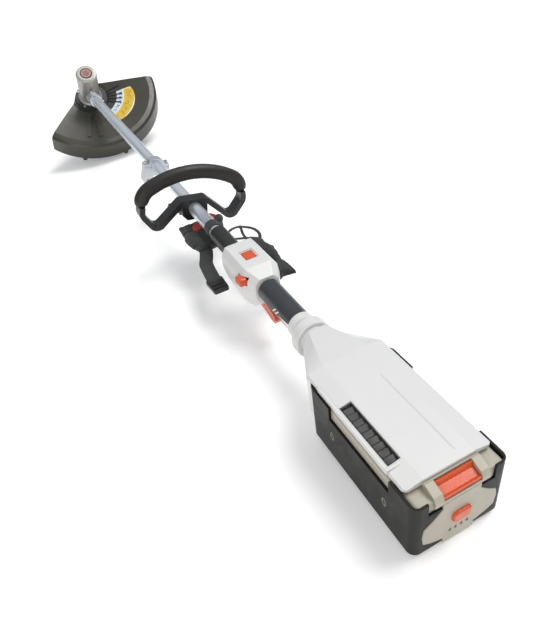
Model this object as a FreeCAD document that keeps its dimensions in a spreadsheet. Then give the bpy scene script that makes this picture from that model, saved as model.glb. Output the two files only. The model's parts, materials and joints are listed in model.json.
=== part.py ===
import FreeCAD, Part
import math
import os
import re
import Sketcher
from FreeCAD import Placement, Rotation, Vector

# Cordless brush cutter. The shaft frame has +Y along the tube towards the cutting head, +X to the
# operator's right and +Z up, with the tube's axis on Y and the battery's rear face at Y = 0.
# The whole machine is turned and lifted at the end, so that it rests on the ground.

SIZES = {
    "wall": 3.0,
    "fit_gap": 0.05,
    "clear_gap": 0.4,
    "tube_radius": 14.0,
    "tube_wall": 1.5,
    "tube_rear": 286.0,
    "head_distance": 1720.0,
    "tube_setback": 30.0,
    "cable_radius": 4.0,
    "sleeve_radius": 17.5,
    "sleeve_rear": 592.0,
    "sleeve_length": 78.0,
    "grip_radius": 19.5,
    "grip_rear": 352.0,
    "grip_length": 106.0,
    "screw_radius": 2.0,
    "screw_head": 3.8,
    "bolt_radius": 2.5,
    "bolt_head": 4.5,
    "battery_half": 60.0,
    "battery_length": 212.0,
    "battery_bottom": 68.0,
    "battery_top": 24.0,
    "cell_radius": 10.5,
    "cell_length": 70.0,
    "cover_rear": 22.0,
    "cover_crease": 226.0,
    "cover_front": 300.0,
    "cover_top": 36.0,
    "deck_bottom": 24.6,
    "deck_top": 27.8,
    "motor_radius": 31.0,
    "motor_top": 92.0,
    "shaft_radius": 5.0,
    "rotor_radius": 15.0,
    "stator_radius": 27.4,
    "shield_radius": 212.0,
    "shield_wall": 2.6,
    "shield_rim": 40.0,
    "spool_radius": 50.0,
    "loop_station": 805.0,
    "loop_depth": 28.0,
    "loop_bar_core": 8.0,
    "loop_grip_radius": 14.5,
    "hanger_station": 1040.0,
    "hanger_width": 22.0,
    "trigger_width": 14.0,
    "trigger_station": 500.0,
    "trigger_drop": 24.0,
    "pin_radius": 2.5,
    "pad_thickness": 10.0,
    "pad_top": 24.0,
}

HEAD_TILT = 35.0
LOOP_ROLL = 10.0

doc = FreeCAD.newDocument("BrushCutter")
sheet = doc.addObject("Spreadsheet::Sheet", "Sizes")
for row, (alias, value) in enumerate(SIZES.items(), start=1):
    sheet.set("A%d" % row, alias)
    sheet.set("B%d" % row, str(value))
    sheet.setAlias("B%d" % row, alias)
doc.recompute()

nodes = {}


def amount(size):
    """Number that a size stands for: a plain number, or a sum such as "wall + 2*fit_gap"."""
    if not isinstance(size, str):
        return float(size)
    total = 0.0
    sign = 1.0
    for term in size.split():
        if term in ("+", "-"):
            sign = -1.0 if term == "-" else 1.0
            continue
        product = sign
        for factor in term.split("*"):
            product *= float(sheet.get(factor)) if factor in SIZES else float(factor)
        total += product
        sign = 1.0
    return total


def drive(item, **sizes):
    """Sets properties, bound to the sheet where the size is given by name."""
    for key, size in sizes.items():
        setattr(item, key, amount(size))
        if isinstance(size, str):
            item.setExpression(key, re.sub(r"[a-z]\w*", r"Sizes.\g<0>", size))


def keep(name, item, place=None):
    """Makes an object a sub-part: its label names its file."""
    item.Label = name
    nodes[name] = item
    if place is not None:
        item.Placement = place.multiply(item.Placement)
    return item


def at(x, y, z, axis=None, angle=0.0):
    turn = Rotation() if axis is None else Rotation(Vector(*axis), angle)
    return Placement(Vector(x, y, z), turn)


def rod(kind, name, radius, length, centre):
    """Cylinder whose base is centred at a point, running along +X, +Y or +Z."""
    item = doc.addObject("Part::Cylinder", name)
    drive(item, Radius=radius, Height=length)
    turns = {"x": ((0, 1, 0), 90.0), "y": ((1, 0, 0), -90.0), "z": ((0, 0, 1), 0.0)}
    axis, angle = turns[kind]
    item.Placement = at(*[amount(value) for value in centre], axis=axis, angle=angle)
    return item


def block(name, low, high):
    """Box between two corners."""
    item = doc.addObject("Part::Box", name)
    low = [amount(value) for value in low]
    high = [amount(value) for value in high]
    item.Length = high[0] - low[0]
    item.Width = high[1] - low[1]
    item.Height = high[2] - low[2]
    item.Placement = at(*low)
    return item


def fused(name, parts):
    item = doc.addObject("Part::MultiFuse", name)
    item.Shapes = parts
    return item


def cut(name, base, tools):
    item = doc.addObject("Part::Cut", name)
    item.Base = base
    item.Tool = tools[0] if len(tools) == 1 else fused(name + "_tools", tools)
    return item


def group(name, parts):
    """Several separate solids in one sub-part."""
    item = doc.addObject("Part::Compound", name)
    item.Links = parts
    return item


def sketch_on(body, role, offset=0.0):
    """Empty sketch on one of the body's own origin planes, moved along its normal."""
    plane = [item for item in body.Origin.OriginFeatures if item.Role == role][0]
    sketch = body.newObject("Sketcher::SketchObject", body.Name + "_sketch")
    sketch.AttachmentSupport = [(plane, "")]
    sketch.MapMode = "FlatFace"
    sketch.AttachmentOffset = at(0.0, 0.0, offset)
    return sketch


def fix(sketch, kind, geometry, corner, size):
    """One coordinate of a sketch point, bound to the sheet where it is given by name."""
    value = amount(size)
    if abs(value) < 1e-9:
        axis = -2 if kind == "DistanceX" else -1
        sketch.addConstraint(Sketcher.Constraint("PointOnObject", geometry, corner, axis))
        return
    index = sketch.addConstraint(Sketcher.Constraint(kind, -1, 1, geometry, corner, value))
    if isinstance(size, str):
        sketch.setExpression("Constraints[%d]" % index, re.sub(r"[a-z]\w*", r"Sizes.\g<0>", size))


def outline(sketch, points):
    """Closed polygon through the points, with every corner's place held."""
    count = len(points)
    first = sketch.GeometryCount
    spots = [Vector(amount(x), amount(y), 0.0) for x, y in points]
    for index in range(count):
        sketch.addGeometry(Part.LineSegment(spots[index], spots[(index + 1) % count]), False)
    for index in range(count):
        after = first + (index + 1) % count
        sketch.addConstraint(Sketcher.Constraint("Coincident", first + index, 2, after, 1))
    for index, (x, y) in enumerate(points):
        fix(sketch, "DistanceX", first + index, 1, x)
        fix(sketch, "DistanceY", first + index, 1, y)


def circle(sketch, x, y, radius):
    """Circle with its centre held and its radius bound."""
    index = sketch.addGeometry(Part.Circle(Vector(amount(x), amount(y), 0), Vector(0, 0, 1), amount(radius)))
    fix(sketch, "DistanceX", index, 3, x)
    fix(sketch, "DistanceY", index, 3, y)
    number = sketch.addConstraint(Sketcher.Constraint("Radius", index, amount(radius)))
    if isinstance(radius, str):
        sketch.setExpression("Constraints[%d]" % number, re.sub(r"[a-z]\w*", r"Sizes.\g<0>", radius))


def new_body(name):
    return doc.addObject("PartDesign::Body", name)


def revolve(body, role, points, axis):
    """Adds a full turn of a profile about the sketch's own axis."""
    sketch = sketch_on(body, role)
    outline(sketch, points)
    turn = body.newObject("PartDesign::Revolution", body.Name + "_turn")
    turn.Profile = sketch
    turn.ReferenceAxis = (sketch, [axis])
    turn.Angle = 360.0
    return turn


def turned_y(name, points):
    """Body of revolution about Y: each point is (station along Y, radius)."""
    body = new_body(name)
    revolve(body, "YZ_Plane", points, "H_Axis")
    return body


def turned_z(name, points):
    """Body of revolution about Z: each point is (radius, height)."""
    body = new_body(name)
    revolve(body, "XZ_Plane", points, "V_Axis")
    return body


def pad(body, sketch, length, reverse=False, both_ways=False):
    feature = body.newObject("PartDesign::Pad", body.Name + "_pad")
    feature.Profile = sketch
    drive(feature, Length=length)
    feature.Reversed = reverse
    feature.Midplane = both_ways
    return feature


def ring_y(name, outer, inner, start, length):
    """Tube along Y from a start station."""
    body = new_body(name)
    sketch = sketch_on(body, "XZ_Plane", -amount(start))
    circle(sketch, 0.0, 0.0, outer)
    circle(sketch, 0.0, 0.0, inner)
    pad(body, sketch, length, reverse=True)
    return body


def plate(name, role, points, thickness, offset=0.0, reverse=False, both_ways=False):
    """Polygon padded off one of the body's planes."""
    body = new_body(name)
    sketch = sketch_on(body, role, amount(offset))
    outline(sketch, points)
    pad(body, sketch, thickness, reverse, both_ways)
    return body


def loft(body, sections, kind="AdditiveLoft", ruled=True):
    """Loft along Y through (station, points) sections, added to or cut from the body."""
    sketches = []
    for station, points in sections:
        sketch = sketch_on(body, "XZ_Plane", -station)
        outline(sketch, points)
        sketches.append(sketch)
    feature = body.newObject("PartDesign::" + kind, body.Name + "_" + kind)
    feature.Profile = sketches[0]
    feature.Sections = sketches[1:]
    feature.Ruled = ruled
    return feature


def round_edges(body, radius, wanted, feature_kind="Fillet"):
    """Rounds or bevels the edges of the body's last shape that a test picks."""
    doc.recompute()
    base = body.Tip
    names = []
    for index, edge in enumerate(base.Shape.Edges, start=1):
        if wanted(edge):
            names.append("Edge%d" % index)
    feature = body.newObject("PartDesign::" + feature_kind, body.Name + "_rounding")
    feature.Base = (base, names)
    if feature_kind == "Fillet":
        drive(feature, Radius=radius)
    else:
        drive(feature, Size=radius)
    return feature


def along(edge, axis):
    """Tells whether a straight edge runs along X, Y or Z."""
    if len(edge.Vertexes) != 2:
        return False
    step = edge.Vertexes[1].Point - edge.Vertexes[0].Point
    step.normalize()
    return abs(abs(step.dot(Vector(*axis))) - 1.0) < 1e-3


def band(route, width):
    """Outline of a strip of even width along a route, mitred at its corners."""
    half = width / 2.0
    sides = ([], [])
    for index, (x, y) in enumerate(route):
        spot = Vector(x, y, 0)
        steps = []
        if index > 0:
            steps.append((spot - Vector(*route[index - 1], 0)).normalize())
        if index < len(route) - 1:
            steps.append((Vector(*route[index + 1], 0) - spot).normalize())
        mean = sum(steps, Vector()).normalize()
        normal = Vector(-mean.y, mean.x, 0)
        reach = half / max(mean.dot(steps[0]), 0.3)
        for side, sign in zip(sides, (1.0, -1.0)):
            edge = spot + normal * reach * sign
            side.append((edge.x, edge.y))
    return sides[0] + sides[1][::-1]


def mirrored(points):
    """Right half of an outline, given from bottom to top, with its left half added."""
    return points + [(-x if not isinstance(x, str) else "- " + x, z) for x, z in points[::-1]]


def screw(name, spot, direction, length, radius="screw_radius", head="screw_head", head_height=2.4):
    """Screw with a domed head; the spot is under its head and the direction is the shank's."""
    shank = doc.addObject("Part::Cylinder", name + "_shank")
    drive(shank, Radius=radius, Height=length)
    cap = doc.addObject("Part::Cylinder", name + "_cap")
    drive(cap, Radius=head, Height=head_height)
    cap.Placement = at(0, 0, -head_height)
    socket = doc.addObject("Part::Prism", name + "_socket")
    socket.Polygon = 6
    socket.Circumradius = amount(head) * 0.5
    socket.Height = head_height
    socket.Placement = at(0, 0, -1.6 * head_height)
    whole = cut(name, fused(name + "_solid", [shank, cap]), [socket])
    whole.Placement = Placement(Vector(*spot), Rotation(Vector(0, 0, 1), Vector(*direction)))
    return whole


def spring(name, low, high, radius, wire, coils):
    """Compression spring along Z, drawn as a stack of rings."""
    rings = []
    for index in range(coils):
        ring = doc.addObject("Part::Torus", name + "_coil")
        drive(ring, Radius1=radius, Radius2=wire)
        share = index / (coils - 1.0)
        ring.Placement = at(0, 0, amount(wire) + (high - low - 2 * amount(wire)) * share)
        rings.append(ring)
    return group(name, rings)


# ---------------------------------------------------------------- shaft tube and what is on it

tube_length = "head_distance - tube_setback - tube_rear"
keep("shaft_tube", ring_y("shaft_tube", "tube_radius", "tube_radius - tube_wall", "tube_rear", tube_length))
keep("motor_cable", rod("y", "motor_cable", "cable_radius", "head_distance - tube_rear - tube_setback + 11",
                        (0, "tube_rear - 7", 0)))

sleeve = ring_y("shaft_sleeve", "sleeve_radius", "tube_radius + fit_gap", "sleeve_rear", "sleeve_length")
round_edges(sleeve, 1.2, lambda edge: edge.BoundBox.XLength > 34.0)
keep("shaft_sleeve", sleeve)

grip = ring_y("grip_sleeve", "grip_radius", "tube_radius + fit_gap", "grip_rear", "grip_length")
round_edges(grip, 1.5, lambda edge: edge.BoundBox.XLength > 38.0)
keep("grip_sleeve", grip)

collar = turned_y("neck_collar_shell", [
    (300.3, "tube_radius + fit_gap"), (300.3, 21.0), (311.0, 22.0), (311.0, 27.0), (313.5, 29.0),
    (327.0, 29.0), (331.0, 26.5),
    (338.0, 22.5), (352.0, 21.5), (352.0, "tube_radius + fit_gap")])
collar_drop = turned_y("neck_collar_drop", [
    (311.0, 0.0), (311.0, 27.0), (313.5, 29.0), (325.0, 29.0), (330.0, 26.0), (344.0, 18.0), (344.0, 0.0)])
collar_drop.Placement = at(0, 0, -5.5)
collar_bore = rod("y", "neck_collar_bore", "tube_radius + fit_gap", 60.0, (0, 296.0, 0))
keep("neck_collar", cut("neck_collar", fused("neck_collar_both", [collar, collar_drop]), [collar_bore]))


# ---------------------------------------------------------------- control housing


def facets(half, shoulder, flat, top):
    """Section of a faceted shell: parting line, side crease, shoulder and flat, both sides."""
    return mirrored([(half, 0.0), (shoulder, 0.62 * top), (flat, top)])


def past_parting(sections, side):
    """Inner sections carried 1 mm past the parting plane, so that the hollow is open there."""
    return [(station, [(x, z if abs(z) > 1e-9 else side) for x, z in points])
            for station, points in sections]


def hollow_shell(name, outer, inner, side):
    body = new_body(name + "_shell")
    loft(body, outer)
    loft(body, past_parting(inner, side), "SubtractiveLoft")
    return body


tube_cutter = rod("y", "tube_cutter", "tube_radius + fit_gap", 400.0, (0, 350.0, 0))
post_spots = [(x, y) for x in (-22.0, 22.0) for y in (508.0, 556.0)]

upper_shell = hollow_shell(
    "control_upper",
    [(460.0, facets(22.5, 21.0, 12.0, 22.5)), (488.0, facets(36.5, 34.0, 24.0, 32.0)),
     (568.0, facets(35.0, 33.0, 25.0, 33.0)), (590.0, facets(19.0, 18.0, 11.0, 20.0))],
    [(463.0, facets(19.5, 18.0, 10.5, 19.5)), (489.0, facets(33.5, 31.0, 22.5, 29.0)),
     (567.0, facets(32.0, 30.0, 23.5, 30.0)), (587.0, facets(16.0, 15.0, 9.5, 17.0))], -1.0)
upper_posts = [rod("z", "upper_post", 4.0, 27.0, (x, y, 0)) for x, y in post_spots]
button_hole = block("power_button_hole", (-10.4, 511.6, 20.0), (10.4, 536.4, 40.0))
button_recess = block("power_button_recess", (-12.5, 509.0, 31.4), (12.5, 539.0, 40.0))
lock_hole = block("lock_button_hole", (-45.0, 475.6, 7.6), (-20.0, 498.4, 22.4))
upper_bores = [rod("z", "upper_bore", "screw_radius + fit_gap", 14.0, (x, y, -2.0)) for x, y in post_spots]
keep("control_upper", cut("control_upper", fused("control_upper_solid", [upper_shell] + upper_posts),
                          [tube_cutter, button_hole, button_recess, lock_hole] + upper_bores))

lower_shell = hollow_shell(
    "control_lower",
    [(460.0, facets(22.5, 21.0, 12.0, -26.0)), (488.0, facets(36.5, 32.0, 19.0, -45.0)),
     (566.0, facets(35.0, 30.0, 19.0, -42.0)), (590.0, facets(19.0, 18.0, 11.0, -20.0))],
    [(463.0, facets(19.5, 18.0, 10.5, -23.0)), (489.0, facets(33.5, 29.0, 17.5, -42.0)),
     (565.0, facets(32.0, 27.0, 17.5, -39.0)), (587.0, facets(16.0, 15.0, 9.5, -17.0))], 1.0)
lower_posts = [rod("z", "lower_post", 5.5, 33.0, (x, y, -33.0)) for x, y in post_spots]
pin_bosses = [rod("x", "pin_boss", 6.0, 21.5, (x, "trigger_station", "- trigger_drop")) for x in (-30.0, 8.5)]
pin_bore = rod("x", "pin_bore", "pin_radius + fit_gap", 56.0, (-28.0, "trigger_station", "- trigger_drop"))
trigger_slot = block("trigger_slot", (-7.6, 450.0, -60.0), (7.6, 514.0, -15.0))
screw_wells = [rod("z", "screw_well", "screw_head + clear_gap", 22.0, (x, y, -50.0)) for x, y in post_spots]
lower_bores = [rod("z", "lower_bore", "screw_radius + fit_gap", 32.0, (x, y, -30.0)) for x, y in post_spots]
lower_solid = fused("control_lower_solid", [lower_shell] + lower_posts + pin_bosses)
keep("control_lower", cut("control_lower", lower_solid,
                          [tube_cutter, trigger_slot, pin_bore] + screw_wells + lower_bores))

control_screws = [screw("control_screw", (x, y, -28.0), (0, 0, 1), 38.0) for x, y in post_spots]

board = block("control_board_plate", (-17.0, 503.0, 16.0), (17.0, 545.0, 17.6))
switch = block("power_switch", (-6.0, 518.0, 17.6), (6.0, 530.0, 22.0))
switch_stem = rod("z", "power_switch_stem", 2.0, 2.2, (0, 524.0, 22.0))
keep("control_board", fused("control_board", [board, switch, switch_stem]))

power_cap = plate("power_button_cap", "XY_Plane", [(-10, 512), (10, 512), (10, 536), (-10, 536)], 6.4, 26.0)
round_edges(power_cap, 2.5, lambda edge: along(edge, (0, 0, 1)))
round_edges(power_cap, 0.8, lambda edge: edge.BoundBox.ZMin > 32.3)
keep("power_button", power_cap)

lock_cap = plate("lock_button_cap", "YZ_Plane", [(476, 8), (498, 8), (498, 22), (476, 22)], 13.0, -41.0)
round_edges(lock_cap, 5.0, lambda edge: along(edge, (1, 0, 0)))
round_edges(lock_cap, 3.0, lambda edge: edge.BoundBox.XMax < -40.9)
keep("lock_button", lock_cap)

microswitch = block("trigger_switch_case", (-6.0, 516.0, -36.0), (6.0, 530.0, -16.0))
plunger = rod("y", "trigger_switch_plunger", 1.6, 2.2, (0, 514.2, -31.0))
keep("trigger_switch", fused("trigger_switch", [microswitch, plunger]))

lever = plate("trigger_lever", "YZ_Plane", [
    (508, -18), (494, -18), (486, -26), (468, -29), (450, -34), (437, -38), (430, -46), (434, -55),
    (446, -57), (478, -49), (500, -44), (512, -36), (512, -28)], "trigger_width", both_ways=True)
round_edges(lever, 3.0, lambda edge: along(edge, (1, 0, 0)) and edge.BoundBox.YMax < 447.5)
lever_bore = rod("x", "trigger_bore", "pin_radius + fit_gap", 20.0,
                 (-10.0, "trigger_station", "- trigger_drop"))
keep("trigger", cut("trigger", lever, [lever_bore]))
keep("trigger_pin", rod("x", "trigger_pin", "pin_radius", 55.6, (-27.8, "trigger_station", "- trigger_drop")))
keep("trigger_spring", spring("trigger_spring", 0.0, 12.0, 4.0, 0.6, 6), at(0, 479, -26.4))


# ---------------------------------------------------------------- rear casing


def lid(inset, low):
    """Section of the casing cover over the battery: low sides, sloping shoulders and a flat."""
    top = SIZES["cover_top"] - inset
    return mirrored([(59.5 - inset, low), (58.0 - inset, top - 4.5), (35.0, top)])


def nose(half, low, inset):
    """Section of the cover's nose, which narrows to an arch over the neck."""
    return mirrored([(half - inset, low), (half - 1.0 - inset, 13.0 - inset),
                     (14.0 - 0.5 * inset, 29.0 - inset)])


cover = new_body("casing_cover_shell")
loft(cover, [(SIZES["cover_rear"], lid(0.0, 28.0)), (SIZES["cover_crease"], lid(0.0, 28.0)),
             (SIZES["cover_front"], nose(25.0, -2.0, 0.0))])
loft(cover, [(25.0, lid(3.0, 27.0)), (225.0, lid(3.0, 27.0)), (297.0, nose(25.0, -3.0, 3.0))],
     "SubtractiveLoft")
vent_hole = block("vent_hole", (-54.5, 57.0, 20.0), (-37.5, 155.0, 40.0))
lips = [block("vent_lip", (-60.5, 51.0, 28.0), (-56.2, 196.0, 33.4)),
        block("vent_lip_rear", (-60.5, 51.0, 30.0), (-37.0, 55.0, 34.6))]
ridge = block("cover_ridge", (17.0, 35.0, 35.0), (18.6, 171.0, 36.3))
cover_screw_spots = [(x, y) for x in (-26.0, 26.0) for y in (40.0, 200.0)]
cover_posts = [rod("z", "cover_post", 4.0, 6.0, (x, y, 28.2)) for x, y in cover_screw_spots]
cover_bores = [rod("z", "cover_bore", "screw_radius + fit_gap", 8.0, (x, y, 25.0)) for x,
               y in cover_screw_spots]
neck_bore = rod("y", "neck_bore", "tube_radius + fit_gap", 40.0, (0, 280.0, 0))
corners = []
for side in (-1.0, 1.0):
    edges = sorted((side * 52.5, side * 61.0))
    square = block("cover_corner_square", (edges[0], 21.0, 20.0), (edges[1], 29.0, 40.0))
    corners.append(cut("cover_corner", square, [rod("z", "cover_corner_round", 7.0, 30.0,
                                                    (side * 52.5, 29.0, 15.0))]))
keep("casing_cover", cut("casing_cover", fused("casing_cover_solid", [cover, ridge] + lips + cover_posts),
                         [vent_hole] + cover_bores + corners + [neck_bore]))


def grille(name, low_x):
    """Louvred vent: a frame with slanted slats across it."""
    frame = block(name + "_frame", (low_x, 57.3, 27.8), (low_x + 16.4, 154.7, 31.0))
    window = block(name + "_window", (low_x + 2.0, 59.5, 20.0), (low_x + 14.4, 152.5, 40.0))
    parts = [cut(name + "_rim", frame, [window])]
    for index in range(9):
        slat = block(name + "_slat", (low_x + 1.6, 60.0, 0), (low_x + 14.8, 68.6, 1.4))
        slat.Placement = at(low_x + 1.6, 60.4 + 10.2 * index, 28.2, (1, 0, 0), 14.0)
        parts.append(slat)
    return fused(name, parts)


keep("vent_grille", grille("vent_louvres", -54.2))


base = new_body("casing_base_shell")
base_rear = [(36.0, -58.0), (58.5, -38.0), (59.5, 28.0)]
base_neck = [(12.0, -27.0), (23.0, -18.0), (25.0, -2.0)]
inner_rear = [(34.0, -55.0), (55.5, -36.0), (56.5, 29.0)]
inner_neck = [(10.5, -24.0), (20.0, -16.0), (22.0, -1.0)]
loft(base, [(216.0, mirrored(base_rear)), (226.0, mirrored(base_rear)), (300.0, mirrored(base_neck))])
loft(base, [(219.0, mirrored(inner_rear)), (225.0, mirrored(inner_rear)), (297.0, mirrored(inner_neck))],
     "SubtractiveLoft")
deck = block("battery_deck", (-57.5, 26.0, "deck_bottom"), (57.5, 217.0, "deck_top"))
deck_slots = [block("deck_slot", (x, 60.0, 20.0), (x + 12.0, 150.0, 40.0)) for x in (-52.0, 40.0)]
webs = []
for side in (-1.0, 1.0):
    edges = sorted((side * 28.0, side * 32.0))
    webs.append(block("rail_web", (edges[0], 62.0, 16.0), (edges[1], 217.0, 25.0)))
    edges = sorted((side * 28.0, side * 38.0))
    webs.append(block("rail_foot", (edges[0], 62.0, 12.5), (edges[1], 217.0, 16.5)))
base_bores = [rod("z", "base_bore", "screw_radius + fit_gap", 8.0, (x, y, 22.0)) for x,
              y in cover_screw_spots]
wells = [rod("z", "deck_well", "screw_head + clear_gap", 2.5, (x, y, 24.0)) for x, y in cover_screw_spots]
terminal_window = block("terminal_window", (-20.5, 200.0, -30.5), (20.5, 225.0, -7.5))
keep("casing_base", cut("casing_base", fused("casing_base_solid", [base, deck] + webs),
                        deck_slots + base_bores + wells + [neck_bore, terminal_window]))

cover_screws = [screw("cover_screw", (x, y, 26.5), (0, 0, 1), 6.2, head_height=1.9) for x,
                y in cover_screw_spots]
keep("housing_screws", group("housing_screws", control_screws + cover_screws))

terminal_body = block("terminal_body", (-20.0, 214.4, -30.0), (20.0, 226.0, -8.0))
terminal_flange = block("terminal_flange", (-24.0, 219.0, -33.0), (24.0, 222.0, -5.0))
blades = [block("terminal_blade", (x, 203.0, -26.0), (x + 1.0, 240.0, -12.0)) for x in (-14.5, -5.5, 4.5,
                                                                                        13.5)]
keep("terminal_block", fused("terminal_block", [terminal_body, terminal_flange] + blades))

tray = block("controller_tray", (-24.0, 244.0, -22.0), (24.0, 278.0, -2.0))
fins = [block("controller_fin", (-24.0 + 7.6 * step, 244.0, -2.5), (-22.0 + 7.6 * step, 278.0, 5.0))
        for step in range(7)]
keep("motor_controller", fused("motor_controller", [tray] + fins))


# ---------------------------------------------------------------- battery

case = plate("battery_case_box", "XY_Plane", [
    ("- battery_half", 2.0), ("battery_half", 2.0), ("battery_half", "battery_length + 2"),
    ("- battery_half", "battery_length + 2")], "battery_bottom + battery_top", "- battery_bottom")
round_edges(case, 6.0, lambda edge: along(edge, (0, 1, 0)) or along(edge, (0, 0, 1)))
case_hollow = block("case_hollow", (-57.5, 4.5, -65.5), (57.5, 211.5, 8.0))
rail_rooms = []
for side in (-1.0, 1.0):
    edges = sorted((side * 27.4, side * 32.6))
    rail_rooms.append(block("web_room", (edges[0], 61.0, 11.9), (edges[1], 230.0, 30.0)))
    edges = sorted((side * 27.4, side * 38.6))
    rail_rooms.append(block("foot_room", (edges[0], 61.0, 11.9), (edges[1], 230.0, 17.1)))
terminal_rooms = [block("terminal_room", (x - 0.6, 200.0, -27.0), (x + 1.6, 230.0, -11.0))
                  for x in (-14.5, -5.5, 4.5, 13.5)]
latch_room = block("latch_room", (-26.6, -5.0, 14.0), (26.6, 18.6, 30.0))
gauge_room = block("gauge_room", (-11.4, -5.0, -30.4), (11.4, 5.0, -13.6))
keep("battery_case", cut("battery_case", case, [case_hollow, latch_room,
                                                gauge_room] + rail_rooms + terminal_rooms))


def wrap(skin, low, high):
    """Corners of the bumper's outline in plan, a skin's thickness outside the case."""
    side = SIZES["battery_half"] + skin
    return [(-side, low), (side, low), (side, high), (-side, high)]


bumper = plate("bumper_outer", "XY_Plane", wrap(3.5, -1.0, 215.6), 98.5, -71.5)
round_edges(bumper, 11.0, lambda edge: along(edge, (0, 0, 1)))
round_edges(bumper, 8.0, lambda edge: edge.BoundBox.ZMax < -71.4, "Chamfer")
case_room = plate("bumper_inner", "XY_Plane", wrap(0.05, 1.95, 214.05), 120.0, -68.05)
round_edges(case_room, 6.0, lambda edge: along(edge, (0, 0, 1)))
top_room = block("bumper_top_room", (-45.0, -10.0, 6.0), (45.0, 230.0, 40.0))
side_rooms = []
for side in (-1.0, 1.0):
    edges = sorted((side * 45.0, side * 70.0))
    side_rooms.append(block("bumper_side_room", (edges[0], 44.0, 6.0), (edges[1], 166.0, 40.0)))
face_outline = [
    (22.0, -75.0), (22.0, -58.0), (40.0, -52.0), (50.5, -46.0), (52.0, -30.0), (50.0, -17.0),
    (38.0, -8.0), (26.0, 4.0), (26.0, 20.0)]
face_room = plate("bumper_face_room", "XZ_Plane", mirrored(face_outline), 12.0, -6.0, reverse=False)
front_room = block("bumper_front_room", (-45.0, 200.0, -40.0), (45.0, 230.0, 40.0))
deck_room = block("bumper_deck_room", (-58.2, 200.0, 24.0), (58.2, 230.0, 40.0))
dimples = []
for side in (-1.0, 1.0):
    for station in (52.0, 162.0):
        dimple = doc.addObject("Part::Ellipsoid", "bumper_dimple")
        drive(dimple, Radius1=2.0, Radius2=16.0, Radius3=4.5)
        dimple.Placement = Placement(Vector(side * 64.0, station, -22.0), Rotation(Vector(1, 0, 0), 90.0))
        dimples.append(dimple)
feet = []
for side in (-1.0, 1.0):
    for station in (52.0, 170.0):
        feet.append(block("bumper_foot", (side * 52.0 - 5.0, station - 9.0, -73.0),
                          (side * 52.0 + 5.0, station + 9.0, -69.0)))
bumper_solid = fused("bumper_solid", [bumper] + feet)
keep("battery_bumpers", cut("battery_bumpers", bumper_solid,
                            [case_room, top_room, face_room, front_room, deck_room] + side_rooms + dimples))

panel = plate("battery_panel_plate", "XZ_Plane", mirrored([
    (21.7, -67.0), (21.7, -57.5), (39.7, -51.5), (50.0, -45.5), (51.6, -30.0), (49.7, -17.3),
    (37.7, -8.3), (25.7, 3.7), (25.7, 13.6)]), 4.2, -1.95)
round_edges(panel, 1.2, lambda edge: edge.BoundBox.YMax < -2.2)
gauge_hole = block("gauge_hole", (-9.4, -5.0, -28.4), (9.4, 5.0, -15.6))
light_holes = [block("light_hole", (x, -5.0, -49.0), (x + 3.4, 5.0, -43.0)) for x in (-14.7, -6.7, 1.3, 9.3)]
keep("battery_panel", cut("battery_panel", panel, [gauge_hole] + light_holes))
keep("gauge_lights", group("gauge_lights", [
    block("gauge_light", (x + 0.1, -1.7, -48.9), (x + 3.3, 1.9, -43.1)) for x in (-14.7, -6.7, 1.3, 9.3)]))

gauge = plate("gauge_button_cap", "XZ_Plane", [(-9, -28), (9, -28), (9, -16), (-9, -16)], 7.2, -3.0)
round_edges(gauge, 4.0, lambda edge: along(edge, (0, 1, 0)))
round_edges(gauge, 1.2, lambda edge: edge.BoundBox.YMax < -4.1)
keep("gauge_button", gauge)

cells = []
for layer in range(2):
    for row in range(2):
        for column in range(5):
            spot = (-46.0 + 23.0 * column, 30.0 + 80.0 * row, -53.0 + 24.0 * layer)
            cells.append(rod("y", "cell", "cell_radius", "cell_length", spot))
keep("battery_cells", group("battery_cells", cells))

latch_frame = plate("latch_block_frame", "YZ_Plane", [
    (-2.0, 14.2), (21.4, 14.2), (21.4, 32.0), (17.0, 33.6), (2.0, 28.0), (-2.0, 22.0)], 74.0, both_ways=True)
latch_window = block("latch_window", (-25.4, -1.1, 10.0), (25.4, 18.4, 40.0))
latch_view = block("latch_view", (-25.4, -8.0, 18.6), (25.4, 0.0, 40.0))
case_top = block("latch_case_room", (-38.0, 1.95, 10.0), (-26.6, 30.0, 24.05))
case_top_right = block("latch_case_room", (26.6, 1.95, 10.0), (38.0, 30.0, 24.05))
case_top_front = block("latch_case_room", (-27.0, 18.6, 10.0), (27.0, 30.0, 24.05))
keep("latch_block", cut("latch_block", latch_frame, [latch_window, latch_view, case_top, case_top_right,
                                                     case_top_front]))

latch_cap = plate("battery_latch_cap", "YZ_Plane", [
    (-0.7, 17.6), (17.6, 17.6), (17.6, 31.0), (15.2, 32.0), (12.8, 26.0), (3.2, 22.4), (-0.7, 24.4)],
    50.0, both_ways=True)
keep("battery_latch", latch_cap)
latch_springs = [spring("latch_coil", 0.0, 3.4, 2.6, 0.35, 3) for side in range(2)]
latch_springs[0].Placement = at(-15.0, 9.0, 14.1)
latch_springs[1].Placement = at(15.0, 9.0, 14.1)
keep("latch_spring", group("latch_spring", latch_springs))


# ---------------------------------------------------------------- hanger clamp

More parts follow.
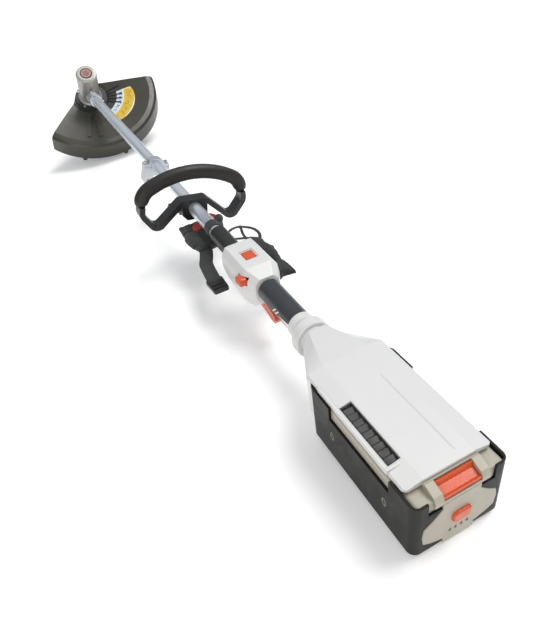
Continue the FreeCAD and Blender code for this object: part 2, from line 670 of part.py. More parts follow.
hanger_top = plate("hanger_top_plate", "XZ_Plane", [
    (-30.0, 0.4), (30.0, 0.4), (30.0, 7.0), (19.5, 7.2), (16.0, 14.5), (8.0, 19.0), (-8.0, 19.0), (-16.0,
                                                                                                   14.5),
    (-19.5, 7.2), (-30.0, 7.0)], "hanger_width", "- hanger_station", reverse=True)
round_edges(hanger_top, 2.0, lambda edge: along(edge, (0, 1, 0)) and edge.BoundBox.ZMin > 1.0)
hanger_low = plate("hanger_low_plate", "XZ_Plane", [
    (-30.0, -0.4), (-30.0, -7.0), (-31.0, -14.0), (-33.0, -33.0), (-27.0, -41.0), (-17.0, -41.0), (-11.0,
                                                                                                   -33.0),
    (-9.0, -20.0), (9.0, -20.0), (11.0, -33.0), (17.0, -41.0), (27.0, -41.0), (33.0, -33.0), (31.0, -14.0),
    (30.0, -7.0), (30.0, -0.4)], "hanger_width", "- hanger_station", reverse=True)
round_edges(hanger_low, 3.0, lambda edge: along(edge, (0, 1, 0)) and edge.BoundBox.ZMax < -1.0)
hanger_rear = amount("hanger_station") - 5.0
hanger_bore = rod("y", "hanger_bore", "tube_radius + fit_gap", 40.0, (0, hanger_rear, 0))
hanger_mid = amount("hanger_station") + 0.5 * SIZES["hanger_width"]
hanger_top_bores = [rod("z", "hanger_top_bore", "bolt_radius + fit_gap", 30.0, (x, hanger_mid, -1.0))
                    for x in (-24.6, 24.6)]
hanger_low_bores = [rod("z", "hanger_low_bore", "bolt_radius + fit_gap", 12.0, (x, hanger_mid, -11.5))
                    for x in (-24.6, 24.6)]
eyes = [rod("y", "hanger_eye", 4.0, 40.0, (x, hanger_rear, -32.0)) for x in (-22.0, 22.0)]
grooves = []
for side in (-1.0, 1.0):
    for index in range(4):
        edges = sorted((side * 14.0, side * 40.0))
        station = SIZES["hanger_station"] + 2.6 + 5.0 * index
        grooves.append(block("hanger_groove", (edges[0], station, -23.0), (edges[1], station + 1.8, -15.0)))
clamp_turn = at(0, 0, 0, (0, 1, 0), 14.0)
keep("hanger_upper", cut("hanger_upper", hanger_top, [hanger_bore] + hanger_top_bores), clamp_turn)
keep("hanger_lower", cut("hanger_lower", hanger_low, [hanger_bore] + hanger_low_bores + eyes), clamp_turn)
hanger_screws = [screw("hanger_screw", (x, hanger_mid, 7.2), (0, 0, -1), 18.0, "bolt_radius", "bolt_head",
                       4.0)
                 for x in (-24.6, 24.6)]
for item in hanger_screws:
    item.Placement = clamp_turn.multiply(item.Placement)


# ---------------------------------------------------------------- loop handle

loop_place = at(0, SIZES["loop_station"], 0, (0, 1, 0), LOOP_ROLL)

# The handle's bar is one long arc with a smaller arc, its shoulder, at each end.
arch_top = 73.5
arch_end = Vector(88.0, 0, 51.0)
shoulder_radius = 36.0
arch_drop = arch_top - arch_end.z
arch_radius = (arch_end.x ** 2 + arch_drop ** 2) / (2 * arch_drop)
arch_turn = math.asin(arch_end.x / arch_radius)
shoulder_centre = arch_end - Vector(math.sin(arch_turn), 0, math.cos(arch_turn)) * shoulder_radius
shoulder_start = 90.0 - math.degrees(arch_turn)


def shoulder_spot(side, angle):
    """Point on a shoulder's arc, at an angle above the horizontal, in degrees."""
    turn = math.radians(angle)
    spot = shoulder_centre + Vector(math.cos(turn), 0, math.sin(turn)) * shoulder_radius
    return Vector(side * spot.x, 0, spot.z)


def swept_bar(radius, end_angle):
    """Round bar along the arch and down its two shoulders."""
    middle = 0.5 * (shoulder_start + end_angle)
    arcs = [Part.Arc(shoulder_spot(-1, end_angle), shoulder_spot(-1, middle),
                     shoulder_spot(-1, shoulder_start)),
            Part.Arc(shoulder_spot(-1, shoulder_start), Vector(0, 0, arch_top),
                     shoulder_spot(1, shoulder_start)),
            Part.Arc(shoulder_spot(1, shoulder_start), shoulder_spot(1, middle), shoulder_spot(1, end_angle))]
    path = Part.Wire([arc.toShape() for arc in arcs])
    heading = path.Edges[0].tangentAt(path.Edges[0].FirstParameter)
    ring = Part.Wire([Part.Circle(shoulder_spot(-1, end_angle), heading, radius).toShape()])
    return path.makePipeShell([ring], True, True)


def bar_feature(name, radius, end_angle):
    item = doc.addObject("Part::Feature", name)
    item.Shape = swept_bar(radius, end_angle)
    return item


def eased(route, radii, steps=5):
    """Route with its corners turned into short runs along arcs of the given radii."""
    points = [route[0]]
    for index in range(1, len(route) - 1):
        corner = Vector(*route[index], 0)
        before = (Vector(*route[index - 1], 0) - corner).normalize()
        after = (Vector(*route[index + 1], 0) - corner).normalize()
        half_angle = 0.5 * math.acos(before.dot(after))
        centre = corner + (before + after).normalize() * (radii[index] / math.sin(half_angle))
        first = corner + before * (radii[index] / math.tan(half_angle)) - centre
        last = corner + after * (radii[index] / math.tan(half_angle)) - centre
        for step in range(steps + 1):
            share = step / steps
            ray = (first * (1 - share) + last * share).normalize() * radii[index]
            points.append((centre.x + ray.x, centre.y + ray.y))
    return points + [route[-1]]


strap_route = [(-107.5, 18.9), (-110.0, 2.0), (-82.0, -36.0), (-26.0, 15.0), (26.0, 15.0), (82.0, -36.0),
               (110.0, 2.0), (107.5, 18.9)]
strap_outline = band(eased(strap_route, [0.0, 20.0, 14.0, 9.0, 9.0, 14.0, 20.0, 0.0]), 11.0)
strap = plate("loop_strap", "XZ_Plane", strap_outline, "loop_depth", both_ways=True)
bar_core = bar_feature("loop_bar_core", SIZES["loop_bar_core"], -6.0)
saddle = plate("loop_saddle", "XZ_Plane", [(-27.0, 0.5), (27.0, 0.5), (27.0, 12.0), (-27.0, 12.0)],
               "loop_depth", both_ways=True)
saddle_bore = rod("y", "saddle_bore", "tube_radius + fit_gap", 80.0, (0, -30.0, 0))
bolt_spots = [(x, y) for x in (-21.0, 21.0) for y in (-8.0, 8.0)]
saddle_bores = [rod("z", "saddle_screw_bore", "screw_radius + fit_gap", 15.0, (x, y, -1.0))
                for x, y in bolt_spots]
keep("loop_frame", cut("loop_frame", fused("loop_frame_solid", [strap, bar_core, saddle]),
                       [saddle_bore] + saddle_bores), loop_place)

sleeve_skin = bar_feature("loop_grip_skin", SIZES["loop_grip_radius"], 2.0)
bar_room = bar_feature("loop_grip_room", SIZES["loop_bar_core"] + SIZES["fit_gap"], -8.0)
keep("loop_grip", cut("loop_grip", sleeve_skin, [bar_room]), loop_place)

clamp_low = plate("loop_clamp_plate", "XZ_Plane", [
    (-27.0, -0.5), (-27.0, -12.0), (-17.0, -23.0), (17.0, -23.0), (27.0, -12.0), (27.0, -0.5)],
    "loop_depth", both_ways=True)
clamp_nose = block("loop_clamp_nose", (-24.0, 13.0, -22.0), (24.0, 44.0, -3.0))
clamp_bores = [rod("z", "clamp_screw_bore", "screw_radius + fit_gap", 20.0, (x, y, -19.0)) for x,
               y in bolt_spots]
clamp_wells = [rod("z", "clamp_screw_well", "screw_head + clear_gap", 14.2, (x, y, -26.4)) for x,
               y in bolt_spots]
knob_bore = rod("x", "clamp_knob_bore", 3.05, 14.0, (-26.0, 30.0, -12.0))
clamp_tube_bore = rod("y", "loop_clamp_bore", "tube_radius + 0.3", 80.0, (0, -30.0, 0))
keep("loop_clamp", cut("loop_clamp", fused("loop_clamp_solid", [clamp_low, clamp_nose]),
                       [clamp_tube_bore, knob_bore] + clamp_bores + clamp_wells), loop_place)
loop_screws = [screw("loop_screw", (x, y, -12.2), (0, 0, 1), 24.0) for x, y in bolt_spots]
keep("loop_screws", group("loop_screws", loop_screws), loop_place)

lobes = [rod("x", "knob_hub", 8.5, 13.0, (-41.0, 0, 0))]
for index in range(6):
    angle = math.radians(60.0 * index)
    lobes.append(rod("x", "knob_lobe", 3.4, 13.0, (-41.0, 8.0 * math.cos(angle), 8.0 * math.sin(angle))))
lobes.append(rod("x", "knob_thread", 3.0, 16.0, (-28.5, 0, 0)))
lobes.append(rod("x", "knob_collar", 5.0, 4.0, (-28.3, 0, 0)))
keep("clamp_knob", fused("clamp_knob", lobes), loop_place.multiply(at(0, 30.0, -12.0)))


# ---------------------------------------------------------------- head: +Z up the motor's axis

head_place = at(0, SIZES["head_distance"], 0, (1, 0, 0), HEAD_TILT)
tube_in_head = head_place.inverse()

housing = turned_z("motor_housing_turned", [
    (13.05, -14.0), (36.0, -14.0), (36.0, -9.0), (32.0, -5.0), (30.0, 4.0), (30.0, 34.0), ("motor_radius",
                                                                                           37.0),
    ("motor_radius", 84.0), (27.6, 84.0), (27.6, 33.0), (9.0, 33.0), (9.0, -3.9), (13.05, -3.9)])
tube_way = rod("y", "housing_tube_way", "tube_radius + fit_gap", 60.0, (0, SIZES["head_distance"] - 84.0, 0))
tube_way.Placement = tube_in_head.multiply(tube_way.Placement)
cable_way = rod("z", "housing_cable_way", 4.0, 20.0, (0, -20.0, 20.0))
low_spots = [(x, y) for x in (-17.0, 17.0) for y in (-17.0, 17.0)]
flange_bores = [rod("z", "flange_bore", "screw_radius + fit_gap", 12.0, (x, y, -15.0)) for x, y in low_spots]
keep("motor_housing", cut("motor_housing", housing, [tube_way, cable_way] + flange_bores), head_place)

keep("motor_cap", turned_z("motor_cap_turned", [
    (0.0, 84.6), (13.05, 84.6), (13.05, 76.5), (17.0, 76.5), (17.0, 81.0), (27.5, 81.0), (27.5, 84.1),
    ("motor_radius", 84.1), ("motor_radius", 87.0), (29.0, 90.5), (25.0, "motor_top"), (0.0, "motor_top")]),
     head_place)
keep("badge_disc", turned_z("badge_disc_turned", [
    (0.0, "motor_top"), (18.5, "motor_top"), (18.5, "motor_top + 0.8"), (17.8, "motor_top + 1.5"),
    (16.4, "motor_top + 1.5"), (16.0, "motor_top + 1"), (0.0, "motor_top + 1")]), head_place)

bearings = []
for height in (-12.0, 76.6):
    bearings.append(cut("bearing", rod("z", "bearing_outer", 13.0, 8.0, (0, 0, height)),
                        [rod("z", "bearing_bore", "shaft_radius + fit_gap", 8.0, (0, 0, height))]))
keep("motor_bearings", group("motor_bearings", bearings), head_place)

stator_slots = [rod("z", "stator_slot", 2.6, 40.0, (21.0 * math.cos(math.radians(30.0 * step)),
                                                   21.0 * math.sin(math.radians(30.0 * step)), 38.0))
                for step in range(12)]
stator_bore = rod("z", "stator_bore", "rotor_radius + 0.6", 40.0, (0, 0, 38.0))
keep("motor_stator", cut("motor_stator", rod("z", "stator_core", "stator_radius", 34.0, (0, 0, 41.0)),
                         [stator_bore] + stator_slots), head_place)

socket_front = SIZES["head_distance"] - 30.0
socket = rod("y", "socket_sleeve", 18.5, 58.0, (0, socket_front - 58.0, 0))
socket_bosses = [rod("z", "socket_boss", 7.5, 9.0, (0, socket_front - reach, 13.0)) for reach in (34.0, 48.0)]
socket_ribs = [block("socket_rib", (side * 17.2 - 1.5, socket_front - 54.0, -6.0),
                     (side * 17.2 + 1.5, socket_front, 6.0)) for side in (-1.0, 1.0)]
housing_room = rod("z", "socket_housing_room", "motor_radius + fit_gap", 200.0, (0, 0, -60.0))
housing_room.Placement = head_place.multiply(housing_room.Placement)
flange_room = rod("z", "socket_flange_room", 38.0, 60.0, (0, 0, -68.0))
flange_room.Placement = head_place.multiply(flange_room.Placement)
socket_tube = rod("y", "socket_bore", "tube_radius + fit_gap", 80.0, (0, socket_front - 60.0, 0))
socket_bores = [rod("z", "socket_bolt_bore", "bolt_radius + fit_gap", 12.0, (0, socket_front - reach, 13.0))
                for reach in (34.0, 48.0)]
keep("tube_socket", cut("tube_socket", fused("tube_socket_solid", [socket] + socket_bosses + socket_ribs),
                        [housing_room, flange_room, socket_tube] + socket_bores))
socket_screws = [screw("socket_screw", (0, socket_front - reach, 22.2), (0, 0, -1), 7.6, "bolt_radius",
                       "bolt_head + 1", 4.0) for reach in (34.0, 48.0)]
keep("clamp_screws", group("clamp_screws", hanger_screws + socket_screws))

plate_spots = [(29.5 * sx, 29.5 * sy) for sx in (-1.0, 1.0) for sy in (-1.0, 1.0)]
bracket = turned_z("shield_bracket_turned", [
    (14.0, -18.0), (47.0, -18.0), (47.0, -15.0), (46.0, -14.05), (14.0, -14.05)])
bracket_bores = [rod("z", "bracket_bore", "screw_radius + fit_gap", 8.0, (x, y, -20.0))
                 for x, y in low_spots + plate_spots]
keep("shield_bracket", cut("shield_bracket", bracket, bracket_bores), head_place)

# The shield is a turned shell kept behind two straight edges, with walls under those edges.
shell_top = [(52.0, -18.05), (60.0, -13.0), (120.0, 2.0), (186.0, 15.0), (200.0, 14.0), (207.0, 8.0),
             ("shield_radius", "- shield_rim")]
shell_under = [("shield_radius - shield_wall", "- shield_rim"), (204.5, 6.4), (198.6, 11.2), (186.3, 12.3),
               (120.5, -0.7), (60.8, -15.8), (52.6, -20.8), (15.0, -20.8)]
shell = turned_z("shield_shell", [(15.0, -18.05)] + shell_top + shell_under)
fill = turned_z("shield_fill", [(46.0, -19.0)] + shell_top[1:-1] + [
    (210.5, "- shield_rim + 8"), (209.0, "- shield_rim + 2"), (60.0, -24.0), (46.0, -21.0)])
kept_plan = [(-58.0, -8.0), (-44.0, 20.0), (-28.0, 42.0), (26.0, 46.0), (46.0, 40.0), (188.0, -2.7),
             (203.0, -14.0),
             (260.0, -60.0), (260.0, -260.0), (-260.0, -260.0), (-260.0, -227.0)]
plan = plate("shield_plan", "XY_Plane", kept_plan, 160.0, -80.0)
edge_plans = [band([(-56.9, -9.0), (-236.6, -203.8)], 3.0), band([(45.6, 38.6), (239.6, -19.7)], 3.0)]
edges = [plate("shield_edge", "XY_Plane", points, 160.0, -80.0) for points in edge_plans]
walls = doc.addObject("Part::Common", "shield_walls")
walls.Base = fill
walls.Tool = fused("shield_edges", edges)
trimmed = doc.addObject("Part::Common", "shield_trimmed")
trimmed.Base = shell
trimmed.Tool = plan
rib_layer = turned_z("shield_rib_layer", [
    (50.0, -17.0), (60.0, -10.4), (120.0, 4.6), (176.0, 15.4), (176.0, 12.0), (120.0, 0.8), (60.0, -14.2),
    (50.0, -19.0)])
rib_blades = []
for angle, start, reach, width in (
        [(4.0 - 10.0 * step, 50.0, 50.0, 2.4) for step in range(5)]
        + [(-99.0 - 12.0 * step, 66.0, 104.0, 11.0) for step in range(2)]):
    blade = block("shield_rib", (start, -0.5 * width, -40.0), (start + reach, 0.5 * width, 40.0))
    blade.Placement = at(0, 0, 0, (0, 0, 1), angle).multiply(blade.Placement)
    rib_blades.append(blade)
ribs = doc.addObject("Part::Common", "shield_ribs")
ribs.Base = rib_layer
ribs.Tool = fused("shield_rib_blades", rib_blades)
lug_reach = 202.0
lug_radius = 7.5
lug_bottom = -56.0
lugs = []
for angle in (-117.0, -80.0):
    spot = (lug_reach * math.cos(math.radians(angle)), lug_reach * math.sin(math.radians(angle)), lug_bottom)
    lugs.append(rod("z", "shield_lug", lug_radius, 30.0, spot))
shield_bores = [rod("z", "shield_bore", "screw_radius + fit_gap", 8.0, (x, y, -24.0))
                for x, y in low_spots + plate_spots]
shield_solid = fused("shield_solid", [trimmed, walls, ribs] + lugs)
keep("shield", cut("shield", shield_solid, shield_bores), head_place)

low_screws = [screw("shield_screw", (x, y, -20.9), (0, 0, 1), 15.4) for x, y in low_spots]
top_screws = [screw("shield_screw", (x, y, -14.0), (0, 0, -1), 7.6) for x, y in plate_spots]
keep("shield_screws", group("shield_screws", low_screws + top_screws), head_place)
wall_start = Vector(45.6, 38.6, 0.0)
wall_angle = math.degrees(math.atan2(-19.7 - 38.6, 239.6 - 45.6))
wall_place = head_place.multiply(Placement(wall_start, Rotation(Vector(0, 0, 1), wall_angle)))
keep("line_cutter", plate("line_cutter_blade", "XZ_Plane", [
    (122.0, -40.0), (148.0, -40.0), (148.0, -16.0), (134.0, -16.0), (122.0, -30.0)], 1.6, 1.55), wall_place)


# ---------------------------------------------------------------- turning head

keep("motor_rotor", cut("motor_rotor", rod("z", "rotor_core", "rotor_radius", 34.0, (0, 0, 41.0)),
                        [rod("z", "rotor_bore", "shaft_radius + 0.01", 40.0, (0, 0, 38.0))]), head_place)
keep("output_shaft", rod("z", "output_shaft", "shaft_radius", 140.0, (0, 0, -56.0)), head_place)

cup = turned_z("spool_housing_turned", [
    ("shaft_radius + 0.01", -24.0), (20.0, -24.0), (23.0, -29.0), (40.0, -32.0), (47.0, -37.0),
    ("spool_radius", -44.0), ("spool_radius", -62.0), (46.5, -62.0), (46.5, -44.0), (44.0, -39.5),
    (38.0, -36.0), (16.0, -34.0), ("shaft_radius + 0.01", -34.0)])
eyelet_ways = [rod("x", "eyelet_way", 4.55, 10.0, (x, 0, -52.0)) for x in (-54.0, 44.0)]
keep("spool_housing", cut("spool_housing", cup, eyelet_ways), head_place)
keep("line_spool", turned_z("line_spool_turned", [
    (12.0, -42.0), (43.0, -42.0), (43.0, -44.0), (20.0, -44.0), (20.0, -60.0), (43.0, -60.0), (43.0, -62.0),
    (12.0, -62.0)]), head_place)
keep("line_winding", turned_z("line_winding_turned", [
    (20.2, -59.8), (36.0, -59.8), (38.0, -58.0), (38.0, -46.0), (36.0, -44.2), (20.2, -44.2)]), head_place)
keep("spool_cover", turned_z("spool_cover_turned", [
    (19.0, -75.0), (36.0, -75.0), (47.0, -70.0), ("spool_radius", -66.0), ("spool_radius", -62.1), (46.5,
                                                                                                    -62.1),
    (46.5, -65.5), (45.0, -68.0), (35.0, -72.0), (19.0, -72.0)]), head_place)
keep("bump_knob", turned_z("bump_knob_turned", [
    (0.0, -68.0), (24.0, -68.0), (24.0, -71.0), (18.5, -71.0), (18.5, -80.0), (22.0, -82.0), (22.0, -87.0),
    (17.0, -92.0), (0.0, -93.0)]), head_place)
keep("bump_spring", spring("bump_spring", 0.0, 9.6, 8.5, 0.8, 5), head_place.multiply(at(0, 0, -67.8)))


# ---------------------------------------------------------------- harness, as plain soft solids

pad_level = "- pad_top - pad_thickness"
keep("hip_pad", plate("hip_pad_slab", "XY_Plane", [
    (-45.5, 789.0), (-47.0, 782.0), (-54.0, 738.0), (-52.0, 704.0), (-41.0, 674.0), (16.0, 678.0),
    (31.0, 694.0), (40.0, 735.0), (51.0, 772.0), (48.5, 789.0)], "pad_thickness", pad_level))
pad_gap = plate("shoulder_pad_gap", "XY_Plane", [
    (50.0, 588.0), (58.0, 580.0), (63.0, 562.0), (58.0, 548.0), (51.0, 560.0)], 30.0, -45.0)
keep("shoulder_pad", cut("shoulder_pad", plate("shoulder_pad_slab", "XY_Plane", [
    (38.0, 640.0), (58.0, 668.0), (76.0, 650.0), (85.0, 606.0), (77.0, 560.0), (80.0, 506.0), (58.0, 512.0),
    (38.0, 504.0), (38.5, 545.0), (39.5, 600.0)], "pad_thickness", pad_level), [pad_gap]))
webbing = [
    plate("strap_left", "XY_Plane", band([(-32.0, 664.0), (-46.0, 638.0), (-52.0, 588.0)], 26.0), 3.0, -31.0),
    plate("strap_loop", "XY_Plane", band([
        (41.5, 705.0), (58.0, 722.0), (76.0, 716.0), (84.0, 696.0), (78.0, 668.0)], 7.0), 3.0, -31.0),
    plate("strap_cross", "XY_Plane", band([(62.0, 717.5), (58.0, 676.0)], 6.0), 2.4, -27.9),
    ring_y("strap_wrap", 16.2, "tube_radius + 0.3", 680.0, 24.0)]
keep("harness_webbing", group("harness_webbing", webbing))
buckle_plate = plate("buckle_plate", "XY_Plane", [(-68.0, 586.0), (-36.0, 586.0), (-38.0, 546.0),
                                                  (-66.0, 546.0)],
                     6.0, -38.0)
round_edges(buckle_plate, 4.0, lambda edge: along(edge, (0, 0, 1)))
slots = [block("buckle_slot", (-64.0, y, -45.0), (-40.0, y + 4.5, -25.0)) for y in (552.0, 562.0, 572.0)]
keep("harness_buckle", cut("harness_buckle", buckle_plate, slots))
tab = plate("release_tab_plate", "XY_Plane", [
    (-27.0, 746.0), (-20.0, 738.0), (20.0, 752.0), (34.0, 774.0), (26.0, 786.0), (-20.0, 764.0)], 4.0, -21.0)
round_edges(tab, 3.0, lambda edge: along(edge, (0, 0, 1)))
keep("release_tab", tab)


# ---------------------------------------------------------------- resting place, checks and files

doc.recompute()
faults = []
for item in doc.Objects:
    if "Invalid" in item.State or "Error" in item.State:
        faults.append("%s: %s" % (item.Label, item.State))
for name, item in nodes.items():
    if item.Shape.isNull() or not item.Shape.isValid() or not item.Shape.Solids:
        faults.append("%s has no valid solid" % name)
if faults:
    raise RuntimeError("; ".join(faults))

rear_contact = Vector(0, 7.0, -71.5)
front_contact = head_place.multVec(Vector(0, lug_reach * math.sin(math.radians(-80.0)) - lug_radius,
                                          lug_bottom))
rise = math.degrees(math.atan2(rear_contact.z - front_contact.z, front_contact.y - rear_contact.y))
turned = at(0, 0, 0, (1, 0, 0), rise)

for item in nodes.values():
    item.Placement = turned.multiply(item.Placement)
doc.recompute()
boxes = [item.Shape.optimalBoundingBox(False) for item in nodes.values()]
middle_x = 0.5 * (min(box.XMin for box in boxes) + max(box.XMax for box in boxes))
middle_y = 0.5 * (min(box.YMin for box in boxes) + max(box.YMax for box in boxes))
lowest = min(box.ZMin for box in boxes)
shift = at(-middle_x, -middle_y, -lowest)
for item in nodes.values():
    item.Placement = shift.multiply(item.Placement)
doc.recompute()

os.makedirs("parts", exist_ok=True)
for name, item in nodes.items():
    item.Shape.exportStep(os.path.join("parts", name + ".step"))
print("%d nodes, rise %.4f degrees, shift %.3f %.3f %.3f" % (len(nodes), rise, shift.Base.x, shift.Base.y,
                                                             shift.Base.z))
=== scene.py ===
import json
import math

import bmesh
import bpy
import numpy as np
from mathutils import Matrix, Vector


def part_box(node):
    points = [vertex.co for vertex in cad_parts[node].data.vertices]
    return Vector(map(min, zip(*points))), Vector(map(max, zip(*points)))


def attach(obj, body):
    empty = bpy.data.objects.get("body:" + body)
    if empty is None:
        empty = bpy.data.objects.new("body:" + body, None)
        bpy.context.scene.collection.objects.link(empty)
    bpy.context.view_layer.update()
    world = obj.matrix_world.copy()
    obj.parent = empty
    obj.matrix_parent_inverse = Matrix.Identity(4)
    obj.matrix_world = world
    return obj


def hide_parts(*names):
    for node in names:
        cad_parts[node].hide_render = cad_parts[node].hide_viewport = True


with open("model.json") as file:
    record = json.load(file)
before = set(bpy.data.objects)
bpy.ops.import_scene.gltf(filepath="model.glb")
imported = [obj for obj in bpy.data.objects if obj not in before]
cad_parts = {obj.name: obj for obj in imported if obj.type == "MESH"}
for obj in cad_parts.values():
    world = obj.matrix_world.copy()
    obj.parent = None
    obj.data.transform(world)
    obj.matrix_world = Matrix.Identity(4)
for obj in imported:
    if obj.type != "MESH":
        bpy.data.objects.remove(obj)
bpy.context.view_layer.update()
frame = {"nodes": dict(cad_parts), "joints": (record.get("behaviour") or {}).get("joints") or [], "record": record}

nodes = frame["nodes"]
joints = {joint["name"]: joint for joint in frame["joints"]}

# The shaft's own frame: +Y along the tube to the head, +X to the operator's right, zero at the battery's
# rear.
slideAxis = Vector(joints["battery_slide"]["axis"])
shaftRise = math.atan2(-slideAxis.z, -slideAxis.y)
shaftTurn = Matrix.Rotation(shaftRise, 4, "X")
triggerPivot = Vector((0, 0.5, -0.024))
seats = {"head": 1.72, "headTilt": 35.0, "loop": 0.805, "loopTilt": 10.0}  # metres along the tube and degrees
shaftOrigin = Vector(joints["trigger_pull"]["pos_m"]) - shaftTurn @ triggerPivot
shaftPlace = Matrix.Translation(shaftOrigin) @ shaftTurn
headPlace = (shaftPlace @ Matrix.Translation((0, seats["head"], 0))
             @ Matrix.Rotation(math.radians(seats["headTilt"]), 4, "X"))
loopPlace = (shaftPlace @ Matrix.Translation((0, seats["loop"], 0))
             @ Matrix.Rotation(math.radians(seats["loopTilt"]), 4, "Y"))


# The camera stands in the shaft's frame, in metres, with its turns in degrees and its lens in millimetres.
view = {"place": (-0.281, -0.251, 0.570), "azimuth": 21.15, "elevation": -36.44, "roll": -10.28,
        "lens": 33.06}

camera = bpy.data.objects.new("camera", bpy.data.cameras.new("camera"))
bpy.context.scene.collection.objects.link(camera)
camera.data.lens = view["lens"]
camera.data.clip_start = 0.01
camera.matrix_world = (Matrix.Translation(shaftPlace @ Vector(view["place"]))
                       @ Matrix.Rotation(-math.radians(view["azimuth"]), 4, "Z")
                       @ Matrix.Rotation(math.radians(90 + view["elevation"]), 4, "X")
                       @ Matrix.Rotation(math.radians(view["roll"]), 4, "Z"))
bpy.context.scene.camera = camera

light = {"skyPower": 0.62, "seenSky": (0.93, 0.93, 0.93),
         "skyStops": [(0.0, (0.30, 0.30, 0.30)), (0.50, (0.26, 0.27, 0.28)), (0.62, (0.40, 0.42, 0.45)),
                      (0.80, (0.95, 0.98, 1.02)), (1.0, (1.0, 1.02, 1.05))],
         "keyPower": 2.1, "keyPlace": (1.3, 0.7, 2.3), "keySpread": 32.0,
         "keyColour": (1.0, 0.985, 0.96), "fillColour": (1.0, 0.93, 0.84), "fillSize": 1.2,
         "fillPower": 13.0, "fillPlace": (-1.6, -0.9, 0.9), "aim": (0.0, 0.6, 0.0)}


def lamp(name, kind, place, power, colour):
    # A light at a place in the shaft's frame, turned to face the aim point.
    made = bpy.data.objects.new(name, bpy.data.lights.new(name, kind))
    made.data.energy = power
    made.data.color = colour
    made.location = shaftPlace @ Vector(place)
    facing = shaftPlace @ Vector(light["aim"]) - made.location
    made.rotation_euler = facing.to_track_quat("-Z", "Y").to_euler()
    bpy.context.scene.collection.objects.link(made)
    return made


keyLight = lamp("keyLight", "SUN", light["keyPlace"], light["keyPower"], light["keyColour"])
keyLight.data.angle = math.radians(light["keySpread"])
fillLight = lamp("fillLight", "AREA", light["fillPlace"], light["fillPower"], light["fillColour"])
fillLight.data.size = light["fillSize"]
bpy.context.scene.view_settings.view_transform = "Standard"


class Strand:
    # One output of a material's nodes. Expressions on it add Math nodes.
    def __init__(self, finish, socket):
        self.finish = finish
        self.socket = socket

    def maths(self, operation, *others):
        return self.finish.node("ShaderNodeMath", {"operation": operation}, [self, *others])

    def __add__(self, other):
        return self.maths("ADD", other)

    def __sub__(self, other):
        return self.maths("SUBTRACT", other)

    def __rsub__(self, other):
        return self.finish.node("ShaderNodeMath", {"operation": "SUBTRACT"}, [other, self])

    def __mul__(self, other):
        return self.maths("MULTIPLY", other)

    def __truediv__(self, other):
        return self.maths("DIVIDE", other)

    def __pow__(self, other):
        return self.maths("POWER", other)

    def __gt__(self, other):
        return self.maths("GREATER_THAN", other)

    def __lt__(self, other):
        return self.maths("LESS_THAN", other)

    __radd__ = __add__
    __rmul__ = __mul__

    def size(self):
        return self.maths("ABSOLUTE")

    def least(self, other):
        return self.maths("MINIMUM", other)

    def most(self, other):
        return self.maths("MAXIMUM", other)

    def wave(self):
        return self.maths("SINE")


class Finish:
    # A material, or a world, and the ways to add nodes to it.
    def __init__(self, name, kinds=bpy.data.materials):
        self.material = kinds.new(name)
        self.material.use_nodes = True
        self.tree = self.material.node_tree
        self.tree.nodes.clear()
        self.spots = {}

    def feed(self, socket, value):
        if isinstance(value, Strand):
            self.tree.links.new(value.socket, socket)
        elif socket.type == "RGBA" and len(value) == 3:
            socket.default_value = (*value, 1.0)
        else:
            socket.default_value = value

    def node(self, kind, settings=None, values=(), output=0):
        made = self.tree.nodes.new(kind)
        for key, value in (settings or {}).items():
            if key == "stops":
                ramp = made.color_ramp.elements
                while len(ramp) < len(value):
                    ramp.new(0.5)
                for stop, (place, colour) in zip(ramp, value):
                    stop.position = place
                    stop.color = (*colour, 1.0)
            else:
                setattr(made, key, value)
        for key, value in (values.items() if isinstance(values, dict) else enumerate(values)):
            self.feed(made.inputs[key], value)
        return Strand(self, made.outputs[output]) if made.outputs else None

    def here(self, place=None):
        # Object coordinates, or the same point in another frame, in metres.
        key = "object" if place is None else str(place)
        if key not in self.spots:
            spot = self.node("ShaderNodeTexCoord", output="Object")
            if place is not None:
                turn = place.to_euler()
                spot = self.node("ShaderNodeMapping", {"vector_type": "TEXTURE"},
                                 {"Vector": spot, "Location": place.translation,
                                  "Rotation": (turn.x, turn.y, turn.z)})
            self.spots[key] = spot
        return self.spots[key]

    def axes(self, place=None):
        parts = self.node("ShaderNodeSeparateXYZ", values=[self.here(place)]).socket.node
        return [Strand(self, parts.outputs[index]) for index in range(3)]

    def stretched(self, scale, place):
        return self.node("ShaderNodeVectorMath", {"operation": "MULTIPLY"}, [self.here(place), scale])

    def noise(self, scale, detail=2.0, rough=0.5, spot=None):
        return self.node("ShaderNodeTexNoise", values={"Vector": spot or self.here(), "Scale": scale,
                                                       "Detail": detail, "Roughness": rough})

    def between(self, value, low, high, first=0.0, last=1.0):
        return self.node("ShaderNodeMapRange", {"interpolation_type": "SMOOTHSTEP"},
                         [value, low, high, first, last])

    def mix(self, mask, first, second):
        return self.node("ShaderNodeMix", {"data_type": "RGBA"}, {0: mask, 6: first, 7: second}, output=2)

    def bump(self, height, depth, strength, under=None):
        values = {"Height": height, "Distance": depth, "Strength": strength}
        if under is not None:
            values["Normal"] = under
        return self.node("ShaderNodeBump", values=values)

    def softEdges(self, radius):
        return self.node("ShaderNodeBevel", {"samples": 4}, {"Radius": radius})

    def close(self, **values):
        shader = self.node("ShaderNodeBsdfPrincipled", values=values)
        self.node("ShaderNodeOutputMaterial", values={"Surface": shader})
        return self.material


